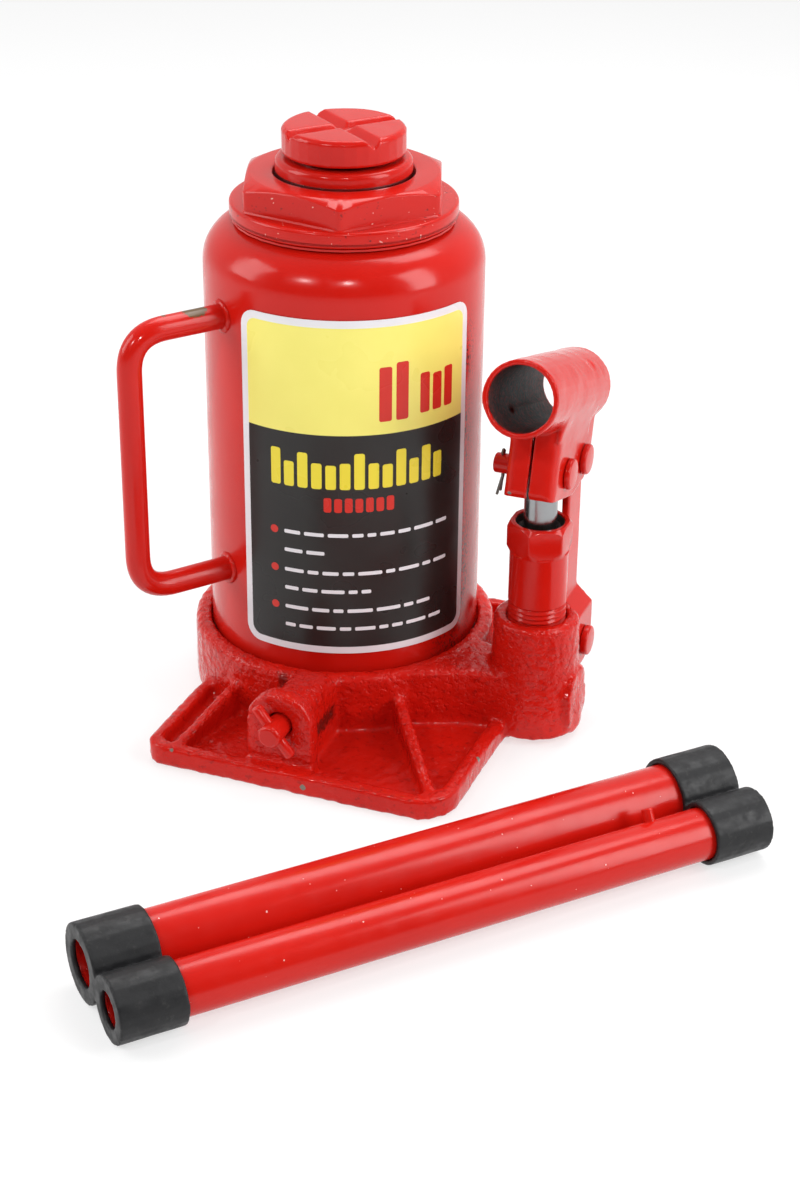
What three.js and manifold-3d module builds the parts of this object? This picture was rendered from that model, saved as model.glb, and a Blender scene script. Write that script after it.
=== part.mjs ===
// Hydraulic bottle jack with its two-piece pump handle, in millimetres, +Z up.
// The origin is on the tank's axis, at the underside of the base casting.
// -Y is the release-valve side, +X is the pump side.

import * as THREE from 'three';
import { mergeVertices } from 'three/addons/utils/BufferGeometryUtils.js';
import Module from 'manifold-3d';

const wasm = await Module();
wasm.setup();

// ---------- driving dimensions ----------

const GAP = 0.3;                    // clearance kept between neighbouring pieces
const DEG = Math.PI / 180;
const SIDES = { large: 44, middle: 32, small: 20 };   // facets of round pieces, by size

// base casting
const PLATE = { left: -43.5, right: 81, front: -100.5, back: 66, floor: 4, rim: 8.5, rimWidth: 6 };
const PLATE_CORNERS = { frontLeft: 9, frontRight: 15, backRight: 14, backLeft: 14 };
const COLLAR_RADIUS = 61;
const COLLAR_TOP = 28;
const RECESS_FLOOR = 12;            // seat of the inner cylinder
const OIL_FLOOR = 25;               // casting's surface inside the tank
const TANK_GROOVE = { inner: 50.4, outer: 54.8, bottom: 24 };
const RIB = { thickness: 4.6, foot: 8.5, bottom: 1 };
const LEFT_RIB = { foot: [-30.5, -97], head: [-23, -52], height: 17 };
const RIGHT_RIB = { foot: [72, -92], head: [40, -43], height: 18 };
const HIGH_WEB = [[20, -54], [44, -42], [66, -33], [83, -31], [87, -6], [50, -5], [20, -5]];   // (x, y)
const LOW_WEB = { outline: [[20, -6], [87, -6], [95, 12], [70, 22], [50, 30], [20, 30]], height: 15 };

// oil drillings in the base casting
const DRILL = 1.8;
const FLOOR_DRILL_Z = 7;            // from the tank to the pump's suction valve
const SUPPLY = { x: 40, y: -28, top: 26 };
const SUCTION = { radius: 2, seat: 14, ballZ: 16.6 };
const DELIVERY = { x: 14, z: 5, start: 18, radius: 3.6, seat: 8, ballZ: 10.8 };
const RETURN = { y: -59.8, z: 6, end: -22, mouth: 2.2 };
const OVERLOAD = {
  x: -15, z: 13, bore: 4.3, mouth: 67, seat: 44, ball: 2.6, ballY: 46.5, drainY: 20, drainZ: 9,
  spring: 2.3, wire: 0.5, turns: 5, springStart: 50, springEnd: 57,
  screw: 4, screwOuter: 62, screwLength: 4, hexKey: 2, hexDepth: 2.5,
};

// tank, inner cylinder and top nut
const TANK_RADIUS = 54;
const TANK_WALL = 3;
const TANK_BOTTOM = 25.6;
const TANK_TOP = 194.6;
const SHOULDER_RADIUS = 16;
const TANK_MOUTH = 38.4;
const FILLER = { z: 150, hole: 4.6, stem: 4.2, flange: 6.5, start: 50, seat: 54.4, end: 57 };
const LOWER_GASKET = { inner: 51, outer: 54, bottom: 24.3, top: 25.3 };
const UPPER_GASKET = { outer: 42.8, bottom: 194.9, top: 195.7 };
const SEAT_GASKET = { inner: 29, outer: 33.5 };
const CYLINDER = { bore: 28, radius: 34, bottom: 13.6, top: 199.5 };
const NUT = {
  flangeRadius: 43.5, flangeBottom: 196, flangeTop: 202.2, top: 212.9, corner: 42.3, bore: 26.8,
  spigotBottom: 189, wiperGroove: 29.2, wiperLow: 205.5, wiperHigh: 209.3,
};
const NUT_TURN = 20 * DEG;          // one hexagon corner's azimuth, from -Y towards +X

// ram and extension screw
const RAM = { radius: 26, piston: 27.6, bottom: 16, pistonTop: 44, top: 218.4, thread: 18.4, bore: 21 };
const RAM_LIP = 188;                // underside of the ram's internal thread
const SCREW = { radius: 18, bottom: 110, head: 23.5, headBottom: 219.7, top: 230 };
const SADDLE_GROOVE = -39 * DEG;    // turn of the first of the head's two crossed grooves, from Y
const STOP_RING = { inner: 15.3, outer: 20.6, bottom: 113.8, top: 116.2 };

// pump
const PUMP_X = 87;
const PUMP_Y = -15;
const PUMP_BOSS = { radius: 16.8, flare: 19.5, bottom: 2.5, top: 49.5 };
const LUG_RADIUS = 9.5;
const PUMP_PAD = {                  // octagonal pad on the boss's outer side, as (y, z)
  outline: [[-21, 1.5], [-10, 1.5], [-4.5, 8], [-4.5, 20], [-9, 27], [-21, 27], [-26, 20], [-26, 8]],
  start: 6, depth: 12.5,
};
const PACKING = { outer: 8.3, bottom: 78.3, top: 84.7, groove: 8.6, grooveLow: 78, grooveHigh: 86 };
const PLUNGER_SEAL = { inner: 5.2, bottom: 37.8, top: 40.2 };
const SLEEVE = { radius: 11.4, bore: 6.8, bottom: 30.6, hexBottom: 77, top: 89.5, corner: 13, cup: 9.4 };
const SLEEVE_TURN = -90.6 * DEG;    // one hexagon corner's angle from X
const SLEEVE_CUP_DEPTH = 4.5;
const SLEEVE_THREAD = { start: 49, pitch: 2, count: 3, depth: 0.8 };
const PLUNGER = { radius: 6.4, bottom: 34, top: 119.5 };
const CHAMBER_RADIUS = 4.2;

// lever linkage, seen from +X: Y and Z of each pivot
const PLUNGER_PIVOT = { y: PUMP_Y, z: 110.5, radius: 3.9 };
const LINK_TOP_PIVOT = { y: 6, z: 108, radius: 3.4 };
const LINK_LOW_PIVOT = { y: 5.5, z: 30, radius: 3.4 };
const LINK_SLACK = 1.9;             // radial play that opens the linkage at its upper pivot
const LINK = { inner: 4.4, outer: 7.4, jogInner: 10.6, jogOuter: 13.6, jogLow: 43, jogHigh: 50 };

// handle socket: a rolled tube with two cheeks, tilted with its mouth up
const SOCKET = { y: -11.2, z: 140.9, tilt: 16.2 * DEG, length: 72, outer: 14.5, inner: 12.5 };
const CHEEK = {
  outer: 10, inner: 7.7, front: -12, frontInner: -9.7, depth: 40,
  lobe: 8.6, seam: 0.5, bend: 4.2, bendInner: 1.9,
};
const PIN_HEAD = { radius: 6, edge: 0.5 };
const COTTER = { radius: 0.9, hole: 1.3, inset: 3 };   // inset: cross hole's distance from the pin's end
const CHEEK_PIN = { tail: -18.6, head: 2.2 };
const LOW_PIN = { tail: -20.1, head: 2.6 };

// release valve
const RELEASE = {
  x: 11.5, z: 24.5, arch: 13.5, neck: 8.6, front: -94, face: 7, seat: -62,
  bore: 5.2, spindle: 4.5, end: -104,
};
const NECK_CUT = [[-88, 34.5], [-78, 32.6], [-56, 30.6], [-56, 45], [-88, 45]];   // (y, z) above the neck
const BALL_RADIUS = 3;
const RELEASE_BALL_Y = RELEASE.seat - 2.4;
const RELEASE_PACKING = { root: 3.5, grooveLow: 22, grooveHigh: 25 };
const CROSS_PIN = { y: -98.5, radius: 2.25, length: 23.6, slope: 53 * DEG };

// carry handle, in a vertical plane through the tank's axis
const CARRY = { turn: 36 * DEG, bar: 4.75, reach: 93, low: 60, high: 165, bend: 15 };

// label: a band of the tank's front, centred on its own azimuth
const LABEL = { turn: 28.8 * DEG, half: 50.8 * DEG, bottom: 35.5, top: 172.8, thick: 0.4, facets: 112 };

// pump handle on the floor: two tubes side by side in common end caps
const HANDLE = { turn: 48.8 * DEG, start: -176.7, end: 70.7 };
const LARGE_TUBE = { side: -164.5, radius: 11.95, wall: 1.6, hole: 8.4 };
const SMALL_TUBE = { side: -188.6, radius: 9.6, wall: 1.5, hole: 6.5 };
const CAP = { wall: 2.2, length: 24, lip: 2 };
const TUBE_SIDES = 24;
const STUD = { along: 30, radius: 2.1, rise: 4.6, lean: 30 * DEG };

// ---------- materials ----------

function paint(color, roughness, metalness) {
  return new THREE.MeshStandardMaterial({ color, roughness, metalness });
}

const RED = paint('#cf1f1c', 0.3, 0.1);
const CAST_RED = paint('#c41d1a', 0.42, 0.1);
const STEEL = paint('#9a9a98', 0.3, 0.9);
const DARK_STEEL = paint('#5b5b5c', 0.4, 0.9);
const COPPER = paint('#b06a3c', 0.4, 0.9);
const RUBBER = paint('#1d1d1d', 0.8, 0);
const CAP_BLACK = paint('#262626', 0.6, 0);
const LABEL_YELLOW = paint('#ede46b', 0.45, 0);

// ---------- solids ----------

// A closed geometry as a solid, whichever way round its outline was listed.
function solid(geometry) {
  const bare = geometry.clone();
  bare.deleteAttribute('normal');
  bare.deleteAttribute('uv');
  const merged = mergeVertices(bare, 1e-4);
  const vertices = merged.attributes.position.array;
  const corner = (i) => new THREE.Vector3().fromArray(vertices, 3 * i);
  const triangles = [];
  let volume = 0;
  for (let i = 0; i < merged.index.count; i += 3) {
    const [a, b, c] = [0, 1, 2].map((k) => merged.index.getX(i + k));
    if (a !== b && b !== c && c !== a) {
      triangles.push(a, b, c);
      volume += corner(a).dot(corner(b).cross(corner(c)));
    }
  }
  if (volume < 0) triangles.reverse();
  return new wasm.Manifold(new wasm.Mesh({
    numProp: 3,
    vertProperties: new Float32Array(vertices),
    triVerts: new Uint32Array(triangles),
  }));
}

function union(...parts) {
  return parts.reduce((whole, part) => whole.add(part));
}

function cut(body, ...tools) {
  return tools.reduce((rest, tool) => rest.subtract(tool), body);
}

function moved(body, matrix) {
  return body.transform(matrix.elements);
}

function shifted(body, x, y, z) {
  return moved(body, new THREE.Matrix4().makeTranslation(x, y, z));
}

function turned(body, angle) {
  return moved(body, new THREE.Matrix4().makeRotationZ(angle));
}

// A solid of revolution about Z, from [radius, z] points.
function revolved(profile, segments = SIDES.small) {
  const points = profile.map(([r, z]) => new THREE.Vector2(r, z));
  return solid(new THREE.LatheGeometry(points, segments).rotateX(Math.PI / 2));
}

function disc(radius, bottom, top, segments = SIDES.small) {
  return revolved([[0, bottom], [radius, bottom], [radius, top], [0, top]], segments);
}

function ring(inner, outer, bottom, top, segments = SIDES.small) {
  const section = [[inner, bottom], [outer, bottom], [outer, top], [inner, top], [inner, bottom]];
  return revolved(section, segments);
}

function box(x0, x1, y0, y1, z0, z1) {
  const geometry = new THREE.BoxGeometry(x1 - x0, y1 - y0, z1 - z0);
  return solid(geometry.translate((x0 + x1) / 2, (y0 + y1) / 2, (z0 + z1) / 2));
}

// A hexagon about the origin, its first corner at an angle from X.
function hexagon(corner, start) {
  return outline(Array.from({ length: 6 }, (_, i) => {
    const angle = start + i * 60 * DEG;
    return [corner * Math.cos(angle), corner * Math.sin(angle)];
  }));
}

function ball(radius, x, y, z) {
  return solid(new THREE.SphereGeometry(radius, 12, 8).translate(x, y, z));
}

function outline(points) {
  return new THREE.Shape(points.map(([x, y]) => new THREE.Vector2(x, y)));
}

function extruded(shape, depth, curveSegments = 8) {
  return solid(new THREE.ExtrudeGeometry(shape, { depth, bevelEnabled: false, curveSegments }));
}

// A round bar between two points.
function rod(radius, from, to, segments = 16) {
  const start = new THREE.Vector3(...from);
  const run = new THREE.Vector3(...to).sub(start);
  const upward = new THREE.Vector3(0, 0, 1);
  const turn = new THREE.Quaternion().setFromUnitVectors(upward, run.clone().normalize());
  const place = new THREE.Matrix4().compose(start, turn, new THREE.Vector3(1, 1, 1));
  return moved(disc(radius, 0, run.length(), segments), place);
}

// A round bar along a curve.
function bentBar(radius, curve, steps, sides = 10) {
  const section = new THREE.Shape().absarc(0, 0, radius, 0, 2 * Math.PI);
  const options = { extrudePath: curve, steps, curveSegments: sides / 2, bevelEnabled: false };
  return solid(new THREE.ExtrudeGeometry(section, options));
}

// A rectangle with a radius of its own at each corner, counter-clockwise from the lower left.
function roundedRectangle(x0, x1, y0, y1, radii) {
  const shape = new THREE.Shape();
  const [a, b, c, d] = radii;
  shape.absarc(x0 + a, y0 + a, a, Math.PI, 1.5 * Math.PI);
  shape.absarc(x1 - b, y0 + b, b, 1.5 * Math.PI, 2 * Math.PI);
  shape.absarc(x1 - c, y1 - c, c, 0, 0.5 * Math.PI);
  shape.absarc(x0 + d, y1 - d, d, 0.5 * Math.PI, Math.PI);
  return shape;
}

// Maps a shape drawn in (y, z) and extruded by depth to x from start to start + depth.
function acrossX(shape, start, depth, curveSegments = 8) {
  const axes = new THREE.Matrix4().makeBasis(
    new THREE.Vector3(0, 1, 0), new THREE.Vector3(0, 0, 1), new THREE.Vector3(1, 0, 0));
  return shifted(moved(extruded(shape, depth, curveSegments), axes), start, 0, 0);
}

// Maps a shape drawn in (x, z) and extruded by depth to y from start to start + depth.
function acrossY(shape, start, depth, curveSegments = 8) {
  const axes = new THREE.Matrix4().makeBasis(
    new THREE.Vector3(-1, 0, 0), new THREE.Vector3(0, 0, 1), new THREE.Vector3(0, 1, 0));
  const mirrored = new THREE.Shape(shape.getPoints(curveSegments).map((p) => new THREE.Vector2(-p.x, p.y)));
  return shifted(moved(extruded(mirrored, depth, curveSegments), axes), 0, start, 0);
}

// ---------- the assembly ----------

const jack = new THREE.Group();
const base = new THREE.Group();
const lift = new THREE.Group();
const pump = new THREE.Group();
const release = new THREE.Group();
const pumpHandle = new THREE.Group();
jack.add(base, lift, pump, release, pumpHandle);

function addPiece(group, name, material, body) {
  const { vertProperties, triVerts, numProp } = body.getMesh();
  const indexed = new THREE.BufferGeometry();
  indexed.setAttribute('position', new THREE.BufferAttribute(new Float32Array(vertProperties), numProp));
  indexed.setIndex(new THREE.BufferAttribute(new Uint32Array(triVerts), 1));
  const geometry = indexed.toNonIndexed();
  geometry.computeVertexNormals();
  const mesh = new THREE.Mesh(geometry, material);
  mesh.name = name;
  group.add(mesh);
}

// ---------- base casting ----------

// The foot: a thin floor inside a raised rim.
function footPlate() {
  const { left, right, front, back, floor, rim, rimWidth } = PLATE;
  const { frontLeft, frontRight, backRight, backLeft } = PLATE_CORNERS;
  const radii = [frontLeft, frontRight, backRight, backLeft];
  const inside = radii.map((r) => r - rimWidth + 1);
  const outer = extruded(roundedRectangle(left, right, front, back, radii), rim, 6);
  const hollow = roundedRectangle(
    left + rimWidth, right - rimWidth, front + rimWidth, back - rimWidth, inside);
  return cut(outer, shifted(extruded(hollow, rim, 4), 0, 0, floor));
}

// A tapered rib that climbs from the rim to the collar.
function rib({ foot, head, height }) {
  const run = Math.hypot(head[0] - foot[0], head[1] - foot[1]);
  const side = outline([[0, RIB.bottom], [run, RIB.bottom], [run, height], [0, RIB.foot]]);
  const heading = Math.atan2(head[1] - foot[1], head[0] - foot[0]);
  const place = new THREE.Matrix4().makeTranslation(foot[0], foot[1], 0)
    .multiply(new THREE.Matrix4().makeRotationZ(heading))
    .multiply(new THREE.Matrix4().makeRotationX(Math.PI / 2))
    .multiply(new THREE.Matrix4().makeTranslation(0, 0, -RIB.thickness / 2));
  return moved(extruded(side, RIB.thickness), place);
}

// An upright plate under an arch, centred on the release valve, from y to y + depth.
function archBlock(radius, y, depth) {
  const { x, z } = RELEASE;
  const shape = new THREE.Shape();
  shape.moveTo(x - radius, 2);
  shape.lineTo(x + radius, 2);
  shape.lineTo(x + radius, z);
  shape.absarc(x, z, radius, 0, Math.PI);
  return acrossY(shape, y, depth, 8);
}

// The boss that holds the release valve: an arched face, and a lower neck back to the collar.
function releaseBoss() {
  const { x, arch, neck, front, face } = RELEASE;
  const behind = front + face;
  const top = acrossX(outline(NECK_CUT), x - arch, 2 * arch);
  return union(archBlock(arch, front, face), cut(archBlock(neck, behind - 1, 29), top));
}

// The pump boss with the pad on its outer side and the lug that carries the link behind it.
function pumpBoss() {
  const { radius, flare, bottom, top } = PUMP_BOSS;
  const post = shifted(revolved([
    [0, bottom], [flare, bottom], [flare, bottom + 8], [radius + 0.6, 26],
    [radius, top - 1.5], [radius - 1.5, top], [0, top],
  ], SIDES.middle), PUMP_X, PUMP_Y, 0);
  const padBlock = acrossX(outline(PUMP_PAD.outline), PUMP_X + PUMP_PAD.start, PUMP_PAD.depth);
  const lug = new THREE.Shape();
  lug.moveTo(PUMP_Y, bottom);
  lug.lineTo(LINK_LOW_PIVOT.y + LUG_RADIUS, bottom);
  lug.absarc(LINK_LOW_PIVOT.y, LINK_LOW_PIVOT.z, LUG_RADIUS, 0, Math.PI / 2);
  lug.lineTo(PUMP_Y, LINK_LOW_PIVOT.z + LUG_RADIUS);
  const width = LINK.jogInner - GAP;
  return union(post, padBlock, acrossX(lug, PUMP_X - width, 2 * width, 6));
}

// The web between the collar and the pump boss: high in front, low under the link.
function pumpWeb() {
  return union(
    extruded(outline(HIGH_WEB), COLLAR_TOP - 0.5),
    extruded(outline(LOW_WEB.outline), LOW_WEB.height));
}

// Oil passages, each a straight drilling between two points.
function passages() {
  const chamber = (z) => [PUMP_X, PUMP_Y, z];
  const supply = (z) => [SUPPLY.x, SUPPLY.y, z];
  const delivery = (z) => [DELIVERY.x, PUMP_Y, z];
  const back = (y, z) => [RELEASE.x, y, z];
  const overload = (y, z) => [OVERLOAD.x, y, z];
  return [
    rod(SUCTION.radius, chamber(FLOOR_DRILL_Z), chamber(SUCTION.seat + 1), 10),
    rod(DRILL, chamber(FLOOR_DRILL_Z), supply(FLOOR_DRILL_Z), 10),
    rod(DRILL, supply(FLOOR_DRILL_Z), supply(SUPPLY.top), 10),
    rod(DRILL, chamber(DELIVERY.start), delivery(DELIVERY.z), 10),
    rod(DRILL, delivery(DELIVERY.z), delivery(DELIVERY.seat + 1), 10),
    rod(DELIVERY.radius, delivery(DELIVERY.seat), delivery(RECESS_FLOOR + 1), 12),
    rod(RETURN.mouth, back(RELEASE.seat - 1, RELEASE.z), back(RELEASE.seat + 4, RELEASE.z), 10),
    rod(DRILL, back(RETURN.y, RELEASE.z), back(RETURN.y, RETURN.z), 10),
    rod(DRILL, back(RETURN.y, RETURN.z), back(RETURN.end, RETURN.z), 10),
    rod(DRILL, back(RETURN.end, RETURN.z), back(RETURN.end, RECESS_FLOOR + 1), 10),
    rod(OVERLOAD.bore, overload(OVERLOAD.mouth, OVERLOAD.z), overload(OVERLOAD.seat, OVERLOAD.z), 14),
    rod(DRILL, overload(OVERLOAD.seat + 1, OVERLOAD.z), overload(OVERLOAD.drainY, OVERLOAD.drainZ), 10),
    rod(DRILL, overload(OVERLOAD.drainY, OVERLOAD.drainZ), overload(OVERLOAD.drainY, RECESS_FLOOR + 1), 10),
  ];
}

function baseCasting() {
  const collar = revolved([
    [0, 0], [COLLAR_RADIUS, 0], [COLLAR_RADIUS, COLLAR_TOP - 2],
    [COLLAR_RADIUS - 2, COLLAR_TOP], [0, COLLAR_TOP],
  ], SIDES.large);
  const blank = union(
    footPlate(), collar, pumpWeb(), pumpBoss(), releaseBoss(), rib(LEFT_RIB), rib(RIGHT_RIB));
  const chamber = [PUMP_X, PUMP_Y];
  const beside = (side, near, front, bottom) => {
    const faces = [PUMP_X + side * near, PUMP_X + side * 22];
    return box(Math.min(...faces), Math.max(...faces), front, 24, bottom, 60);
  };
  const linkSlots = [-1, 1].flatMap((side) => [
    beside(side, LINK.jogInner - GAP, -6.6, 17),
    beside(side, LINK.inner - GAP, LINK_TOP_PIVOT.y - 8.7, 40.8),
  ]);
  return cut(blank,
    ring(TANK_GROOVE.inner, TANK_GROOVE.outer, TANK_GROOVE.bottom, 60, SIDES.large),
    disc(TANK_GROOVE.inner + 1, OIL_FLOOR, 60, SIDES.large),
    disc(CYLINDER.radius + GAP, RECESS_FLOOR, 40, SIDES.large),
    shifted(disc(SLEEVE.radius + 0.4, SLEEVE.bottom - GAP, 60), ...chamber, 0),
    rod(CHAMBER_RADIUS + 3, [...chamber, 26], [...chamber, 40]),
    rod(CHAMBER_RADIUS, [...chamber, SUCTION.seat], [...chamber, 40]),
    rod(RELEASE.bore, [RELEASE.x, -110, RELEASE.z], [RELEASE.x, RELEASE.seat, RELEASE.z]),
    rod(LINK_LOW_PIVOT.radius + GAP, [60, LINK_LOW_PIVOT.y, LINK_LOW_PIVOT.z],
      [110, LINK_LOW_PIVOT.y, LINK_LOW_PIVOT.z]),
    ...linkSlots, ...passages());
}

// ---------- tank and cylinder ----------

// Points of a quarter arc, from the side (angle 0) to the top (angle 90 degrees).
function quarterArc(centreR, centreZ, radius, steps) {
  return Array.from({ length: steps + 1 }, (_, i) => {
    const angle = (i / steps) * Math.PI / 2;
    return [centreR + radius * Math.cos(angle), centreZ + radius * Math.sin(angle)];
  });
}

function tankShell() {
  const centreR = TANK_RADIUS - SHOULDER_RADIUS;
  const centreZ = TANK_TOP - SHOULDER_RADIUS;
  const inner = quarterArc(centreR, centreZ, SHOULDER_RADIUS - TANK_WALL, 5).reverse();
  const mouth = TANK_MOUTH + 0.1;
  const shell = revolved([
    [TANK_RADIUS - TANK_WALL, TANK_BOTTOM], [TANK_RADIUS, TANK_BOTTOM],
    ...quarterArc(centreR, centreZ, SHOULDER_RADIUS, 6).slice(0, 6), [mouth, TANK_TOP],
    [mouth, TANK_TOP - TANK_WALL], ...inner.slice(1), [TANK_RADIUS - TANK_WALL, TANK_BOTTOM],
  ], SIDES.large);
  return cut(shell, rod(FILLER.hole, [0, TANK_RADIUS - 14, FILLER.z], [0, TANK_RADIUS + 6, FILLER.z]));
}

function topNut() {
  const { flangeRadius, flangeBottom, flangeTop, top, corner, bore, spigotBottom } = NUT;
  const flat = corner * Math.cos(30 * DEG);
  const chamfer = revolved([
    [0, 180], [60, 180], [60, top - 9], [corner + 0.6, top - 2.6], [flat - 0.4, top], [0, top],
  ], SIDES.large);
  const height = top - flangeTop + 1;
  const head = shifted(extruded(hexagon(corner, NUT_TURN - Math.PI / 2), height), 0, 0, flangeTop - 1);
  const flange = disc(flangeRadius, flangeBottom, flangeTop, SIDES.large);
  const spigot = disc(TANK_MOUTH - GAP, spigotBottom, flangeBottom + 1, SIDES.large);
  return cut(union(head.intersect(chamfer), flange, spigot),
    disc(bore, spigotBottom - 1, top + 1, SIDES.large),
    disc(CYLINDER.radius + GAP, spigotBottom - 1, CYLINDER.top + GAP, SIDES.large),
    disc(NUT.wiperGroove, NUT.wiperLow, NUT.wiperHigh, SIDES.middle));
}

function carryHandle() {
  const { turn, bar, reach, low, high, bend } = CARRY;
  const outward = new THREE.Vector3(-Math.sin(turn), -Math.cos(turn), 0);
  const at = (r, z) => outward.clone().multiplyScalar(r).setZ(z);
  const path = new THREE.CurvePath();
  path.add(new THREE.LineCurve3(at(40, high), at(reach - bend, high)));
  const corner = (z, before, after) => new THREE.QuadraticBezierCurve3(before, at(reach, z), after);
  path.add(corner(high, at(reach - bend, high), at(reach, high - bend)));
  path.add(new THREE.LineCurve3(at(reach, high - bend), at(reach, low + bend)));
  path.add(corner(low, at(reach, low + bend), at(reach - bend, low)));
  path.add(new THREE.LineCurve3(at(reach - bend, low), at(40, low)));
  return cut(bentBar(bar, path, 24), disc(TANK_RADIUS + GAP, 20, 190, SIDES.large));
}

function frontLabel() {
  const { turn, half, bottom, top, thick } = LABEL;
  const inner = TANK_RADIUS + GAP;
  const band = ring(inner, inner + thick, bottom, top, LABEL.facets);
  const middle = -Math.PI / 2 + turn;
  const reach = 90;
  const edge = [-1, -0.5, 0, 0.5, 1].map((k) => {
    const angle = middle + k * half;
    return [reach * Math.cos(angle), reach * Math.sin(angle)];
  });
  return band.intersect(extruded(outline([[0, 0], ...edge]), top + 10));
}

function fillerPlug() {
  const { stem, flange, start, seat, end, z } = FILLER;
  const plug = revolved([
    [0, start], [stem, start], [stem, seat], [flange, seat + 0.2],
    [flange, end - 1], [flange - 1, end], [0, end],
  ], 16);
  const alongY = new THREE.Matrix4().makeRotationX(-Math.PI / 2);
  return shifted(moved(plug, alongY), 0, 0, z);
}

function baseBody() {
  const { bore, radius, bottom, top } = CYLINDER;
  const { inner, outer } = SEAT_GASKET;
  const lower = LOWER_GASKET;
  const upper = UPPER_GASKET;
  addPiece(base, 'base_casting', CAST_RED, baseCasting());
  addPiece(base, 'tank', RED, tankShell());
  addPiece(base, 'tank_lower_gasket', RUBBER,
    ring(lower.inner, lower.outer, lower.bottom, lower.top, SIDES.middle));
  addPiece(base, 'tank_upper_gasket', RUBBER,
    ring(TANK_MOUTH + 0.4, upper.outer, upper.bottom, upper.top, SIDES.middle));
  addPiece(base, 'inner_cylinder', STEEL, ring(bore, radius, bottom, top, SIDES.large));
  addPiece(base, 'cylinder_seat_gasket', COPPER,
    ring(inner, outer, RECESS_FLOOR + GAP, bottom - GAP, SIDES.middle));
  addPiece(base, 'top_nut', RED, topNut());
  addPiece(base, 'ram_wiper_ring', RUBBER,
    ring(RAM.radius + GAP, NUT.wiperGroove - GAP, NUT.wiperLow + GAP, NUT.wiperHigh - GAP, SIDES.middle));
  addPiece(base, 'carry_handle', RED, carryHandle());
  addPiece(base, 'front_label', LABEL_YELLOW, frontLabel());
  addPiece(base, 'filler_plug', RUBBER, fillerPlug());
}

// ---------- ram and extension screw ----------

function saddleScrew() {
  const { radius, bottom, head, headBottom, top } = SCREW;
  const body = revolved([
    [0, bottom], [radius - 1.5, bottom], [radius, bottom + 1.5], [radius, STOP_RING.bottom - GAP],
    [STOP_RING.inner - GAP, STOP_RING.bottom - GAP], [STOP_RING.inner - GAP, STOP_RING.top + GAP],
    [radius, STOP_RING.top + GAP], [radius, headBottom], [head - 0.8, headBottom], [head, headBottom + 0.8],
    [head, top - 1.3], [head - 1.3, top], [0, top],
  ], SIDES.middle);
  const notch = outline([[-3.4, top + 0.2], [0, top - 3.2], [3.4, top + 0.2]]);
  const groove = acrossY(notch, -40, 80);
  return cut(body, turned(groove, SADDLE_GROOVE), turned(groove, SADDLE_GROOVE + Math.PI / 2));
}

function liftBodies() {
  const { radius, piston, bottom, pistonTop, top, thread, bore } = RAM;
  addPiece(lift, 'ram', RED, revolved([
    [0, bottom], [piston - 1.5, bottom], [piston, bottom + 1.5], [piston, 20], [24.5, 20], [24.5, 26],
    [piston, 26], [piston, pistonTop - 1], [piston - 1, pistonTop], [radius, pistonTop], [radius, top - 3],
    [radius - 2, top], [thread, top], [thread, RAM_LIP], [bore, RAM_LIP], [bore, 100], [0, 94],
  ], SIDES.large));
  addPiece(lift, 'piston_seal', RUBBER, ring(24.8, CYLINDER.bore - GAP, 20.3, 25.7, SIDES.middle));
  addPiece(lift, 'screw_stop_ring', DARK_STEEL,
    ring(STOP_RING.inner, STOP_RING.outer, STOP_RING.bottom, STOP_RING.top, 32));
  addPiece(lift, 'extension_screw', RED, saddleScrew());
}

// ---------- pump ----------

// Sawtooth rings at the foot of the sleeve's thread, as [radius, z] points.
function threadRings(root, crest, bottom, count, pitch) {
  return Array.from({ length: count }, (_, i) => {
    const z = bottom + i * pitch;
    return [[root, z], [crest, z + 0.35 * pitch], [crest, z + 0.65 * pitch]];
  }).flat();
}

function pumpCylinder() {
  const { radius, bore, bottom, hexBottom, top, corner, cup } = SLEEVE;
  const { pitch, count, start, depth } = SLEEVE_THREAD;
  const root = radius - depth;
  const end = start + count * pitch;
  const sleeve = revolved([
    [0, bottom], [radius, bottom], [radius, start - 1], ...threadRings(root, radius, start, count, pitch),
    [root, end], [radius, end + 1], [radius, top - 1], [0, top - 1],
  ], SIDES.small);
  const bevel = revolved([
    [0, hexBottom], [radius - 0.2, hexBottom], [corner + 0.2, hexBottom + 2.2],
    [corner + 0.2, top - 1.6], [radius + 0.1, top], [0, top],
  ], SIDES.middle);
  const prism = shifted(extruded(hexagon(corner, SLEEVE_TURN), top - hexBottom), 0, 0, hexBottom);
  return shifted(cut(union(sleeve, prism.intersect(bevel)),
    disc(bore, bottom - 10, top + 10),
    disc(cup, top - SLEEVE_CUP_DEPTH, top + 10),
    disc(PACKING.groove, PACKING.grooveLow, PACKING.grooveHigh)), PUMP_X, PUMP_Y, 0);
}

function plunger() {
  const { radius, bottom, top } = PLUNGER;
  const stem = revolved([
    [0, bottom], [radius - 0.8, bottom], [radius, bottom + 0.8], [radius, 37.5], [4.9, 37.5], [4.9, 40.5],
    [radius, 40.5], [radius, top - 1.5], [radius - 1.5, top], [0, top],
  ], SIDES.small);
  const eye = rod(PLUNGER_PIVOT.radius + GAP, [-20, 0, PLUNGER_PIVOT.z], [20, 0, PLUNGER_PIVOT.z], 20);
  return shifted(cut(stem, eye), PUMP_X, PUMP_Y, 0);
}

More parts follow.
